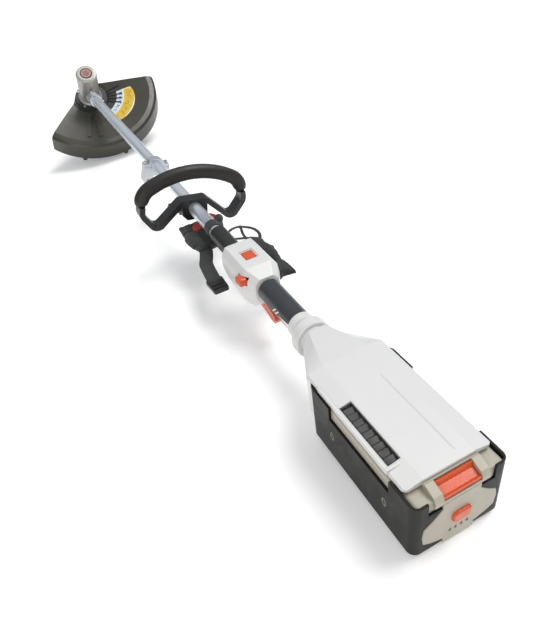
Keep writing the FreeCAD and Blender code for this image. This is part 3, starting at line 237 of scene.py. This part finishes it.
def studioSky():
    # Bright overhead and dimmer towards the horizon, so that metal has something dark to reflect. Seen
    # directly, the sky is the same pale tone as the floor.
    sky = Finish("studio", bpy.data.worlds)
    spot = sky.node("ShaderNodeTexCoord", output="Generated")
    level = sky.node("ShaderNodeSeparateXYZ", values=[spot], output="Z")
    share = sky.node("ShaderNodeMapRange", values={"Value": level, "From Min": -1.0})
    tone = sky.node("ShaderNodeValToRGB", {"stops": light["skyStops"]}, {"Fac": share})
    lit = sky.node("ShaderNodeBackground", values={"Color": tone, "Strength": light["skyPower"]})
    seen = sky.node("ShaderNodeBackground", values={"Color": light["seenSky"]})
    direct = sky.node("ShaderNodeLightPath", output="Is Camera Ray")
    either = sky.node("ShaderNodeMixShader", values=[direct, lit, seen])
    sky.node("ShaderNodeOutputWorld", values={"Surface": either})
    bpy.context.scene.world = sky.material


studioSky()


def mouldedPlastic(name, colour, rough, grain=0.4, edge=0.0008, coat=0.0, patchy=0.05):
    # Fine moulded texture, a slow change of shade and faint handling marks.
    finish = Finish(name)
    slow = finish.noise(9.0, 3.0)
    fine = finish.noise(1500.0, 3.0, 0.6)
    marks = finish.noise(55.0, 5.0, 0.65)
    dim, bright = [[part * (1 + change) for part in colour] for change in (-patchy, patchy)]
    shade = finish.mix(slow, dim, bright)
    gloss = finish.between(marks, 0.35, 0.75, rough - 0.05, rough + 0.07)
    normal = finish.bump(fine, 0.00006 * grain, 0.6, finish.softEdges(edge))
    return finish.close(**{"Base Color": shade, "Roughness": gloss, "Normal": normal, "Coat Weight": coat,
                           "Coat Roughness": 0.12, "Specular IOR Level": 0.5})


def rubberSkin(name, colour, rough):
    # Soft overmould: matt, slightly dusty, with a pebbled grain.
    finish = Finish(name)
    pebble = finish.node("ShaderNodeTexVoronoi", values={"Vector": finish.here(), "Scale": 900.0})
    dust = finish.noise(30.0, 6.0, 0.7)
    shade = finish.mix(finish.between(dust, 0.52, 0.8, 0.0, 0.35), colour,
                       [part * 1.9 + 0.006 for part in colour])
    normal = finish.bump(pebble, 0.00010, 0.5, finish.softEdges(0.0009))
    gloss = finish.between(dust, 0.3, 0.8, rough - 0.1, rough + 0.1)
    return finish.close(**{"Base Color": shade, "Roughness": gloss, "Normal": normal,
                           "Specular IOR Level": 0.45})


def bumperSkin():
    # Near-black rubber with two pale oval pads low on each side of the battery, each with a dark rim.
    oval = {"middle": 0.107, "apart": 0.055, "level": -0.022, "long": 0.0052, "tall": 0.0085,
            "side": 0.0605, "rim": 0.86}
    finish = Finish("bumper_rubber")
    across, along, up = finish.axes(shaftPlace)
    beside = ((along - oval["middle"]).size() - oval["apart"]) / oval["long"]
    above = (up - oval["level"]) / oval["tall"]
    reach = (beside * beside + above * above) ** 0.5
    side = across.size() > oval["side"]
    dust = finish.noise(26.0, 6.0, 0.7)
    skin = finish.mix(finish.between(dust, 0.5, 0.8, 0.0, 0.5),
                      (0.0055, 0.0055, 0.0038), (0.014, 0.014, 0.010))
    pad = finish.mix(reach < oval["rim"], (0.004, 0.004, 0.003), (0.15, 0.16, 0.125))
    shade = finish.mix((reach < 1.0) * side, skin, pad)
    grain = finish.noise(1300.0, 3.0, 0.6)
    normal = finish.bump(grain, 0.00006, 0.5, finish.softEdges(0.0016))
    gloss = finish.between(dust, 0.3, 0.8, 0.42, 0.58)
    return finish.close(**{"Base Color": shade, "Roughness": gloss, "Normal": normal,
                           "Specular IOR Level": 0.25})


def drawnMetal(name, colour, rough, along, depth, place=shaftPlace, metallic=1.0):
    # Metal with fine lines along one axis, and a slow change of shade.
    finish = Finish(name)
    lines = finish.noise(1.0, 3.0, 0.5, finish.stretched(along, place))
    slow = finish.noise(14.0, 3.0)
    shade = finish.mix(slow, [part * 0.93 for part in colour], colour)
    gloss = finish.between(lines, 0.3, 0.7, rough - 0.05, rough + 0.08)
    normal = finish.bump(lines, depth, 0.5, finish.softEdges(0.0005))
    return finish.close(**{"Base Color": shade, "Roughness": gloss, "Metallic": metallic, "Normal": normal})


def castMetal(name, colour, rough, metallic=0.9, grainScale=700.0, depth=0.00012):
    # Metal or metal paint with a fine cast grain and a slow change of shade.
    finish = Finish(name)
    grain = finish.noise(grainScale, 4.0, 0.6)
    slow = finish.noise(22.0, 4.0)
    shade = finish.mix(slow, [part * 0.9 for part in colour], colour)
    gloss = finish.between(grain, 0.3, 0.7, rough - 0.06, rough + 0.1)
    normal = finish.bump(grain, depth, 0.5, finish.softEdges(0.0008))
    return finish.close(**{"Base Color": shade, "Roughness": gloss, "Metallic": metallic, "Normal": normal})


def wovenCloth(name, colour, threads):
    # Plain weave: over-and-under threads both ways, lint, soft sheen, painted highlight on raised threads.
    finish = Finish(name)
    across, along, up = finish.axes(shaftPlace)
    over = (across * threads * math.pi).wave() * (along * threads * math.pi).wave()
    lint = finish.noise(38.0, 5.0, 0.7)
    shade = finish.mix(finish.between(lint, 0.45, 0.8), colour, [part * 2.1 + 0.004 for part in colour])
    # Painted highlight: the raised threads are painted lighter, as light would catch their tops.
    shade = finish.mix(finish.between(over, -0.6, 0.9, 0.0, 0.45), shade, [part * 2.6 for part in colour])
    normal = finish.bump(over, 0.00035, 0.7, finish.bump(finish.noise(70.0, 3.0), 0.0012, 0.35))
    gloss = finish.between(lint, 0.3, 0.8, 0.70, 0.92)
    return finish.close(**{"Base Color": shade, "Roughness": gloss, "Normal": normal, "Sheen Weight": 0.18,
                           "Sheen Roughness": 0.5, "Specular IOR Level": 0.3})


def tapeWeave(name, colour):
    # Tape: ribs across its length and slanting yarns, from the piece's own UV in metres.
    finish = Finish(name)
    spot = finish.node("ShaderNodeUVMap", {"uv_map": "tape"})
    parts = finish.node("ShaderNodeSeparateXYZ", values=[spot]).socket.node
    side, run = Strand(finish, parts.outputs[0]), Strand(finish, parts.outputs[1])
    ribs = (run * 2600.0).wave() * 0.6 + ((run + side * 0.7) * 5200.0).wave() * 0.4
    lint = finish.noise(60.0, 4.0, 0.7)
    # Painted highlight: the rib tops are painted lighter, as light would catch them.
    shade = finish.mix(finish.between(ribs, -0.5, 1.0), colour, [part * 3.0 for part in colour])
    gloss = finish.between(lint, 0.3, 0.8, 0.55, 0.8)
    normal = finish.bump(ribs, 0.0003, 0.6)
    return finish.close(**{"Base Color": shade, "Roughness": gloss, "Normal": normal, "Sheen Weight": 0.12,
                           "Specular IOR Level": 0.4})


def badgeInk():
    # Round badge: muted red disc with a thin pale line on it, and a dark ring outside.
    ring = {"line": 0.0125, "lineWidth": 0.0011, "disc": 0.0150}
    finish = Finish("badge")
    across, along, up = finish.axes(headPlace)
    reach = (across * across + along * along) ** 0.5
    wear = finish.noise(240.0, 4.0, 0.6)
    disc = finish.mix(finish.between(wear, 0.35, 0.7), (0.24, 0.085, 0.075), (0.36, 0.16, 0.14))
    lined = finish.mix((reach - ring["line"]).size() < ring["lineWidth"], disc, (0.42, 0.34, 0.31))
    shade = finish.mix(reach > ring["disc"], lined, (0.055, 0.032, 0.030))
    return finish.close(**{"Base Color": shade, "Roughness": finish.between(wear, 0.3, 0.7, 0.26, 0.38),
                           "Normal": finish.softEdges(0.0006), "Coat Weight": 0.3})


def gripSkin():
    # Soft grey grip with a pale wedge and two short slanting strokes low on its left side.
    marks = {"rear": 0.3530, "front": 0.387, "middle": 1.52, "half": 0.46, "strokes": (1.10, 1.36),
             "ink": (0.78, 0.76, 0.66), "rim": (0.006, 0.006, 0.006)}
    finish = Finish("grip_rubber")
    across, along, up = finish.axes(shaftPlace)
    turn = finish.node("ShaderNodeMath", {"operation": "ARCTAN2"}, [across * -1.0, up])
    share = (along - marks["rear"]) / (marks["front"] - marks["rear"])
    width = (1.02 - share) * marks["half"]

    def band(centre, half):
        return centre.size() * -1.0 + half

    wedge = band(turn - marks["middle"], width * 0.5).least(band(share - 0.5, 0.5) * 0.5)
    shape = wedge
    for place in marks["strokes"]:
        slant = share - place - (turn - marks["middle"] + 0.20) * 0.6
        shape = shape.most((band(slant, 0.050) * 2.0).least(band(turn - marks["middle"] + 0.10, 0.24) * 0.6))
    pebble = finish.node("ShaderNodeTexVoronoi", values={"Vector": finish.here(), "Scale": 1100.0})
    dust = finish.noise(30.0, 6.0, 0.7)
    skin = finish.mix(finish.between(dust, 0.5, 0.8, 0.0, 0.4), (0.026, 0.029, 0.033), (0.055, 0.06, 0.066))
    rimmed = finish.mix(finish.between(shape, -0.036, -0.028), skin, marks["rim"])
    shade = finish.mix(finish.between(shape, -0.004, 0.004), rimmed, marks["ink"])
    normal = finish.bump(pebble, 0.00008, 0.5, finish.softEdges(0.0009))
    gloss = finish.between(dust, 0.3, 0.8, 0.34, 0.48)
    return finish.close(**{"Base Color": shade, "Roughness": gloss, "Normal": normal, "Coat Weight": 0.1,
                           "Specular IOR Level": 0.5})


finishes = {
    "anodised_tube": drawnMetal("anodised_tube", (0.80, 0.86, 0.93), 0.30, (500.0, 5.0, 500.0), 0.00001,
                                metallic=0.82),
    "cast_aluminium": castMetal("cast_aluminium", (0.62, 0.64, 0.68), 0.36),
    "silver_paint": castMetal("silver_paint", (0.44, 0.43, 0.395), 0.40, 0.5, 1400.0, 0.00005),
    "steel": castMetal("steel", (0.62, 0.62, 0.63), 0.26, 1.0, 2200.0, 0.00002),
    "dark_steel": castMetal("dark_steel", (0.06, 0.06, 0.065), 0.45, 0.8, 900.0, 0.00005),
    "off_white_plastic": mouldedPlastic("off_white_plastic", (0.645, 0.65, 0.645), 0.34, 0.35, 0.0014, 0.15,
                                        0.03),
    "light_grey_plastic": mouldedPlastic("light_grey_plastic", (0.40, 0.37, 0.30), 0.38, 0.5, 0.0010),
    "black_plastic": mouldedPlastic("black_plastic", (0.012, 0.0125, 0.0125), 0.38, 0.8, 0.0012),
    "black_rubber": rubberSkin("black_rubber", (0.013, 0.011, 0.008), 0.55),
    "grip_rubber": gripSkin(),
    "orange_plastic": mouldedPlastic("orange_plastic", (0.60, 0.075, 0.014), 0.30, 0.25, 0.0010, 0.2),
    "shield_plastic": mouldedPlastic("shield_plastic", (0.043, 0.041, 0.031), 0.34, 0.9, 0.0014),
    "board": mouldedPlastic("board", (0.02, 0.16, 0.06), 0.35),
    "cell_wrap": mouldedPlastic("cell_wrap", (0.05, 0.16, 0.40), 0.25),
    "winding": drawnMetal("winding", (0.70, 0.20, 0.03), 0.35, (3.0, 3.0, 900.0), 0.0003, headPlace),
    "laminations": drawnMetal("laminations", (0.30, 0.29, 0.28), 0.45, (3.0, 3.0, 1500.0), 0.0001, headPlace),
    "badge": badgeInk(),
    "harness_fabric": wovenCloth("harness_fabric", (0.016, 0.017, 0.018), 620.0),
    "webbing": tapeWeave("webbing", (0.015, 0.016, 0.016)),
    "dark_window": mouldedPlastic("dark_window", (0.012, 0.012, 0.015), 0.16, 0.1, 0.0003, 0.5)}


def dress(piece, material):
    piece.data.materials.clear()
    piece.data.materials.append(material)


for part in frame["record"]["subparts"]:
    dress(nodes[part["node"]], finishes[part["material_slot"]])
dress(nodes["battery_bumpers"], bumperSkin())
dress(nodes["release_tab"], mouldedPlastic("tab_red", (0.40, 0.055, 0.035), 0.42, 0.5))
dress(nodes["vent_grille"], mouldedPlastic("vent_black", (0.006, 0.006, 0.006), 0.5, 0.8))
print("finishes on", len(nodes), "nodes")


def gridPiece(name, points, body, slotName, closeU=False, closeV=False, uv=None):
    # Piece from a rows by columns grid of points; a closed direction joins its last line to its first.
    rows, columns = points.shape[:2]
    index = np.arange(rows * columns).reshape(rows, columns)
    if closeU:
        index = np.vstack([index, index[:1]])
    if closeV:
        index = np.hstack([index, index[:, :1]])
    quads = np.stack([index[:-1, :-1], index[:-1, 1:], index[1:, 1:], index[1:, :-1]], axis=-1).reshape(-1, 4)
    mesh = bpy.data.meshes.new(name)
    mesh.from_pydata(points.reshape(-1, 3).tolist(), [], quads.tolist())
    if uv is not None:
        layer = mesh.uv_layers.new(name="tape")
        loops = np.empty(len(mesh.loops), dtype=np.int32)
        mesh.loops.foreach_get("vertex_index", loops)
        layer.data.foreach_set("uv", uv.reshape(-1, 2)[loops].astype(np.float32).ravel())
    piece = bpy.data.objects.new(name, mesh)
    bpy.context.scene.collection.objects.link(piece)
    mesh.polygons.foreach_set("use_smooth", np.ones(len(mesh.polygons), dtype=bool))
    dress(piece, finishes[slotName])
    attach(piece, body)
    return piece


def placed(points, place):
    # The points taken from a frame of the machine to where they stand.
    flat = np.asarray(points, dtype=float).reshape(-1, 3)
    turn = np.array(place.to_3x3())
    return (flat @ turn.T + np.array(place.translation)).reshape(np.shape(points))


def outward(piece, near=1e-6):
    # Joins points that lie together and turns every face outwards.
    mesh = bmesh.new()
    mesh.from_mesh(piece.data)
    bmesh.ops.remove_doubles(mesh, verts=mesh.verts, dist=near)
    bmesh.ops.recalc_face_normals(mesh, faces=mesh.faces)
    mesh.to_mesh(piece.data)
    mesh.free()


def smoothLine(points, count):
    # Even points on the curve through the given ones: each run is the cubic that leaves a point along the
    # chord of its two neighbours, sampled finely and then spread evenly by length.
    points = np.asarray(points, dtype=float)
    ends = np.vstack([2 * points[0] - points[1], points, 2 * points[-1] - points[-2]])
    step = np.linspace(0, 1, 24, endpoint=False)[:, None]
    runs = []
    for before, first, last, after in zip(ends, ends[1:], ends[2:], ends[3:]):
        runs.append(0.5 * (2 * first + (last - before) * step
                           + (2 * before - 5 * first + 4 * last - after) * step ** 2
                           + (3 * first - before - 3 * last + after) * step ** 3))
    fine = np.vstack(runs + [points[-1:]])
    length = np.concatenate([[0], np.cumsum(np.linalg.norm(np.diff(fine, axis=0), axis=1))])
    even = np.linspace(0, length[-1], count)
    return np.stack([np.interp(even, length, fine[:, axis]) for axis in range(fine.shape[1])], axis=1), even


mm = 0.001
strap = {"thick": 0.0020, "round": 16, "steps": 40, "flat": 0.4}


def tape(name, line, width):
    # Flat tape along a line: at each point an oval section, its long axis level and square to the line. The
    # oval is a cosine across the width and a sine, raised to a small power so that its faces are flat,
    # through the thickness.
    spots, run = smoothLine(line, strap["steps"])
    heading = np.gradient(spots, axis=0)
    heading /= np.linalg.norm(heading, axis=1, keepdims=True)
    side = np.cross(heading, np.array([0.0, 0.0, 1.0]))
    side /= np.linalg.norm(side, axis=1, keepdims=True)
    top = np.cross(side, heading)
    angle = np.linspace(0, 2 * math.pi, strap["round"], endpoint=False)
    across = np.cos(angle) * 0.5 * width
    lift = np.sign(np.sin(angle)) * np.abs(np.sin(angle)) ** strap["flat"] * 0.5 * strap["thick"]
    rings = spots[:, None] + side[:, None] * across[None, :, None] + top[:, None] * lift[None, :, None]
    uv = np.stack(np.broadcast_arrays(across[None, :], run[:, None]), axis=-1)
    first, last = [end[:, None].repeat(len(angle), 1) for end in (spots[:1], spots[-1:])]
    rings = np.concatenate([first, rings, last])
    uv = np.concatenate([uv[:1], uv, uv[-1:]])
    return gridPiece(name, placed(rings, shaftPlace), "shaft", "webbing", closeV=True, uv=uv)


# Each tape's line, then its width, in millimetres in the shaft's frame.
tapes = {
    "strapLeft": ([(-24, 694, -29), (-31, 670, -29), (-38, 652, -29), (-46, 634, -30), (-50, 606, -31),
                   (-52, 586, -32), (-52, 572, -34)], 26),
    "strapLoop": ([(15, 688, -22), (28, 703, -27), (42, 715, -29), (56, 718, -30), (70, 708, -30),
                   (81, 690, -30), (82, 668, -30), (73, 646, -29)], 6.5),
    "strapCross": ([(62, 716, -28), (58, 700, -27), (54, 684, -28), (53, 668, -29), (56, 652, -29)], 5.5),
    "strapInner": ([(14, 683, -22), (27, 681, -28), (40, 675, -29), (54, 667, -29), (66, 656, -29)], 6.5)}
harnessTapes = [tape(name, np.array(line) * mm, width * mm) for name, (line, width) in tapes.items()]
wrapping = {"start": 0.6805, "width": 0.023, "radius": 0.0153, "bulge": 0.0009, "around": 72, "round": 20}


def wrapBand(name):
    # Tape wound round the tube: a circle about the tube carries the same flat oval, a cosine along the tube
    # and a sine raised to a small power away from it.
    turn = np.linspace(0, 2 * math.pi, wrapping["around"], endpoint=False)[:, None]
    angle = np.linspace(0, 2 * math.pi, wrapping["round"], endpoint=False)[None]
    rise = np.sign(np.sin(angle)) * np.abs(np.sin(angle)) ** strap["flat"]
    out = wrapping["radius"] + wrapping["bulge"] * rise
    along = wrapping["width"] * (0.5 + 0.5 * np.cos(angle))
    rings = np.stack(np.broadcast_arrays(np.sin(turn) * out, wrapping["start"] + along, np.cos(turn) * out),
                     axis=-1)
    uv = np.stack(np.broadcast_arrays(along, turn * wrapping["radius"]), axis=-1)
    return gridPiece(name, placed(rings, shaftPlace), "shaft", "webbing", closeU=True, closeV=True, uv=uv)


wrap = wrapBand("strapWrap")
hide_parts("harness_webbing")
for piece in [*harnessTapes, wrap]:
    outward(piece)
print("straps", len(harnessTapes) + 1)

# Seams are in millimetres, as places to the right and along the shaft.
pads = {
    "hipPad": {"node": "hip_pad", "fill": 0.45, "cap": 0.0045,
               "seams": [[(-30, 815), (-38, 775), (-44, 735), (-40, 695)],
                         [(-14, 820), (-18, 770), (-20, 720), (-18, 682)],
                         [(28, 818), (34, 772), (26, 735), (18, 700)],
                         [(-46, 752), (-20, 748), (14, 748), (42, 756)]]},
    "shoulderPad": {"node": "shoulder_pad", "fill": 0.5, "cap": 0.0040,
                    "seams": [[(46, 640), (66, 652), (78, 606), (71, 560), (73, 514)],
                              [(44, 632), (46, 600), (45, 560), (44, 512)]]}}
stuffing = {"voxel": 0.0035, "shrink": 0.0010, "pressure": 3.0, "quality": 6, "lastFrame": 16,
            "seamDepth": 0.34, "seamWidth": 0.0022, "seamSteps": 60}


def corners(piece, kind="co"):
    # A piece's points, or its normals at them, as rows of three.
    values = np.empty(len(piece.data.vertices) * 3)
    piece.data.vertices.foreach_get(kind, values)
    return values.reshape(-1, 3)


def padPiece(name, facts):
    # Pad swelled from its plain slab by a cloth simulation under pressure. A point's travel is scaled down to
    # the cap where it is longer.
    piece = bpy.data.objects.new(name, nodes[facts["node"]].data.copy())
    bpy.context.scene.collection.objects.link(piece)
    outward(piece, 1e-5)
    bpy.context.view_layer.objects.active = piece
    remesh = piece.modifiers.new("evenFaces", "REMESH")
    remesh.mode = "VOXEL"
    remesh.voxel_size = stuffing["voxel"]
    bpy.ops.object.modifier_apply(modifier=remesh.name)
    start = corners(piece) - corners(piece, "normal") * stuffing["shrink"]
    piece.data.vertices.foreach_set("co", start.ravel())
    cloth = piece.modifiers.new("stuffing", "CLOTH")
    cloth.settings.use_pressure = True
    cloth.settings.uniform_pressure_force = stuffing["pressure"]
    cloth.settings.effector_weights.gravity = 0.0
    cloth.settings.quality = stuffing["quality"]
    for frameNumber in range(1, stuffing["lastFrame"] + 1):
        bpy.context.scene.frame_set(frameNumber)
    bpy.ops.object.modifier_apply(modifier=cloth.name)
    bpy.context.scene.frame_set(1)
    travel = corners(piece) - start
    reach = np.linalg.norm(travel, axis=1, keepdims=True)
    travel *= np.minimum(1.0, facts["cap"] / np.maximum(reach, 1e-9))
    piece.data.vertices.foreach_set("co", (start + travel).ravel())
    smoother = piece.modifiers.new("finer", "SUBSURF")
    smoother.levels = smoother.render_levels = 1
    bpy.ops.object.modifier_apply(modifier=smoother.name)
    sewPad(piece, facts["seams"])
    piece.data.polygons.foreach_set("use_smooth", np.ones(len(piece.data.polygons), dtype=bool))
    dress(piece, finishes["harness_fabric"])
    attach(piece, "shaft")
    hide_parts(facts["node"])


def sewPad(piece, seams):
    # Sewn channels: each point sinks towards the pad's middle level by a bell curve of its distance to a
    # seam.
    local = placed(corners(piece), shaftPlace.inverted())
    middle = 0.5 * (local[:, 2].min() + local[:, 2].max())
    for seam in seams:
        line, _ = smoothLine(np.array(seam) * mm, stuffing["seamSteps"])
        gap = np.full(len(local), 1.0)
        for spot in line:
            gap = np.minimum(gap, np.hypot(local[:, 0] - spot[0], local[:, 1] - spot[1]))
        sunk = stuffing["seamDepth"] * np.exp(-(gap / stuffing["seamWidth"]) ** 2)
        local[:, 2] -= (local[:, 2] - middle) * sunk
    piece.data.vertices.foreach_set("co", placed(local, shaftPlace).ravel())


for name, facts in pads.items():
    padPiece(name, facts)
print("pads", len(pads))


# Metres and degrees.
loopBar = {"thick": 0.0145, "end": 0.0096, "taper": 0.016, "arch": 0.18334, "archTop": 0.0735,
           "shoulder": 0.036, "middle": (0.07072, 0.01942), "turn": 61.31, "last": 2.0, "round": 40,
           "shoulderSteps": 26, "archSteps": 64}


def softBar():
    # Soft bar along three arcs that meet smoothly. The outward direction turns from one end to the other, a
    # point is its arc's centre plus that direction times the arc's radius, and the bar thins at both ends
    # like a quarter ellipse.
    facts = loopBar
    corner = np.linspace(facts["last"], facts["turn"], facts["shoulderSteps"])
    top = np.linspace(180 - facts["turn"], facts["turn"], facts["archSteps"])[1:-1]
    turn = np.radians(np.concatenate([180 - corner, top, corner[::-1]]))
    onArch = np.abs(turn - math.pi / 2) < math.radians(90 - facts["turn"]) - 1e-6
    radius = np.where(onArch, facts["arch"], facts["shoulder"])
    middleX = np.where(onArch, 0.0, np.sign(np.cos(turn)) * facts["middle"][0])
    middleZ = np.where(onArch, facts["archTop"] - facts["arch"], facts["middle"][1])
    out = np.stack([np.cos(turn), np.zeros_like(turn), np.sin(turn)], axis=1)
    spots = np.stack([middleX, np.zeros_like(turn), middleZ], axis=1) + out * radius[:, None]
    run = np.concatenate([[0], np.cumsum(np.linalg.norm(np.diff(spots, axis=0), axis=1))])
    near = np.clip(np.minimum(run, run[-1] - run) / facts["taper"], 0, 1)
    thick = facts["end"] + (facts["thick"] - facts["end"]) * np.sqrt(1 - (1 - near) ** 2)
    thick = np.concatenate([[0.0], thick, [0.0]])
    spots = np.vstack([spots[:1], spots, spots[-1:]])
    out = np.vstack([out[:1], out, out[-1:]])
    angle = np.linspace(0, 2 * math.pi, facts["round"], endpoint=False)
    points = (spots[:, None] + (out[:, None] * np.cos(angle)[None, :, None]
                                + np.array([0, 1, 0]) * np.sin(angle)[None, :, None]) * thick[:, None, None])
    piece = gridPiece("softBar", placed(points, loopPlace), "loop_handle", "black_rubber", closeV=True)
    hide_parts("loop_grip")
    outward(piece)


softBar()
print("soft bar done")


gauge = {"half": (0.0125, 0.0090), "proud": 0.0021, "skirt": 0.0045, "lift": 0.0006, "rings": 14, "round": 72}


def gaugeButton():
    # Cushion-shaped button: each ring is a rounded rectangle, a superellipse of power four, and the rings
    # shrink to 0.8 of the rim while they rise along a quarter circle, then close at the middle. The skirt
    # runs back into the panel.
    low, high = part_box("gauge_button")
    inside = shaftPlace.inverted()
    centre = inside @ ((Vector(low) + Vector(high)) * 0.5)
    rear = min((inside @ Vector(corner)).y for corner in (low, high))
    angle = np.linspace(0, 2 * math.pi, gauge["round"], endpoint=False)[None]
    fall = np.linspace(0, math.pi / 2, gauge["rings"])[:, None]
    size = np.vstack([[1.0], [1.0], 0.80 + 0.20 * np.cos(fall[1:]), [[0.4]], [[0.0]]])
    rise = np.vstack([[[0.0]], np.sin(fall[1:]), [[1.06]], [[1.08]]])
    depth = np.vstack([[[gauge["skirt"]]], -gauge["proud"] * rise])
    wide = np.sign(np.cos(angle)) * np.abs(np.cos(angle)) ** 0.5
    tall = np.sign(np.sin(angle)) * np.abs(np.sin(angle)) ** 0.5
    points = np.stack(np.broadcast_arrays(
        centre.x + gauge["half"][0] * size * wide, rear + gauge["lift"] + depth,
        centre.z + gauge["half"][1] * size * tall), axis=-1)
    piece = gridPiece("gaugeCap", placed(points, shaftPlace), "gauge_button", "orange_plastic", closeV=True)
    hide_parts("gauge_button")
    outward(piece)


gaugeButton()
print("gauge button done")


# Radii in metres and angles in degrees.
label = {"inner": 0.082, "edge": 0.104, "outer": (0.128, 0.142), "from": -7.0, "to": -77.0, "lift": 0.0003,
         "rim": 0.138, "rimTurn": 33.6, "line": 0.0012, "along": 90, "across": 36, "bulge": 0.6,
         "cells": 5.6, "ink": 0.52, "rowScale": 1500.0,
         "marks": (0.0945, 0.0052, 0.36), "rows": (0.1215, 0.0085, 0.40),  # middle, half height and half width
         "profile": [(0.052, -0.01805), (0.060, -0.013), (0.120, 0.002), (0.186, 0.015), (0.200, 0.014)]}


def shieldLabel():
    # Label lying on the shield: its radius and angle are the grid's two directions, and its height is read
    # from the shield's section at that radius, plus a hair.
    angle = np.radians(np.linspace(label["from"], label["to"], label["along"]))[:, None]
    share = np.linspace(0, 1, label["across"])[None]
    slip = np.linspace(0, 1, label["along"])[:, None]
    far = label["outer"][0] + (label["outer"][1] - label["outer"][0]) * np.sin(slip * math.pi) ** label["bulge"]
    reach = label["inner"] + (far - label["inner"]) * share
    radii, heights = zip(*label["profile"])
    height = np.interp(reach, radii, heights) + label["lift"]
    points = np.stack([reach * np.cos(angle), reach * np.sin(angle), height], axis=-1)
    uv = np.stack([reach, np.broadcast_to(angle, reach.shape)], axis=-1)
    piece = gridPiece("shieldLabel", placed(points, headPlace), "shaft", "shield_plastic", uv=uv)
    piece.data.flip_normals()
    return piece


def labelInk():
    # Pale blue-white inner field with blue blots in blocks, yellow outer field with dark blots in rows, and a
    # white rim. The blots mean nothing.
    finish = Finish("label_ink")
    spot = finish.node("ShaderNodeUVMap", {"uv_map": "tape"})
    parts = finish.node("ShaderNodeSeparateXYZ", values=[spot]).socket.node
    reach, turn = Strand(finish, parts.outputs[0]), Strand(finish, parts.outputs[1])
    wear = finish.noise(90.0, 5.0, 0.7)
    inner = finish.mix(finish.between(wear, 0.4, 0.7), (0.62, 0.72, 0.80), (0.78, 0.83, 0.86))
    yellow = finish.mix(finish.between(wear, 0.4, 0.7), (0.70, 0.46, 0.02), (0.76, 0.55, 0.05))
    cell = turn * label["cells"]
    beat = cell - finish.node("ShaderNodeMath", {"operation": "FLOOR"}, [cell])
    blots = finish.noise(300.0, 1.0, 0.5) > label["ink"]

    def block(middle, half, wide):
        return ((beat - 0.5).size() < wide) * ((reach - middle).size() < half)

    blue = finish.mix(block(*label["marks"]) * blots, inner, (0.07, 0.12, 0.50))
    rows = (reach * label["rowScale"]).wave() > 0.2
    outer = finish.mix(rows * blots * block(*label["rows"]), yellow, (0.16, 0.07, 0.02))
    shade = finish.mix(reach > label["edge"], blue, outer)
    middle = math.radians(0.5 * (label["from"] + label["to"]))
    rim = ((turn - middle).size() > math.radians(label["rimTurn"])).most(reach > label["rim"])
    shade = finish.mix(rim.most((reach - label["edge"]).size() < label["line"]), shade, (0.82, 0.83, 0.80))
    return finish.close(**{"Base Color": shade, "Roughness": finish.between(wear, 0.3, 0.7, 0.28, 0.40),
                           "Coat Weight": 0.3, "Coat Roughness": 0.15})


dress(shieldLabel(), labelInk())
print("label done")


floorMesh = bpy.data.meshes.new("floor")
floorMesh.from_pydata([(-30, -30, 0), (30, -30, 0), (30, 30, 0), (-30, 30, 0)], [], [(0, 1, 2, 3)])
floor = bpy.data.objects.new("floor", floorMesh)
bpy.context.scene.collection.objects.link(floor)
floorFinish = Finish("floor")
floorTone = floorFinish.mix(floorFinish.noise(3.0), (0.84, 0.84, 0.84), (0.86, 0.86, 0.86))
dress(floor, floorFinish.close(**{"Base Color": floorTone, "Roughness": 0.9, "Specular IOR Level": 0.0,
                                  "Emission Color": (1.0, 1.0, 1.0), "Emission Strength": 0.23}))
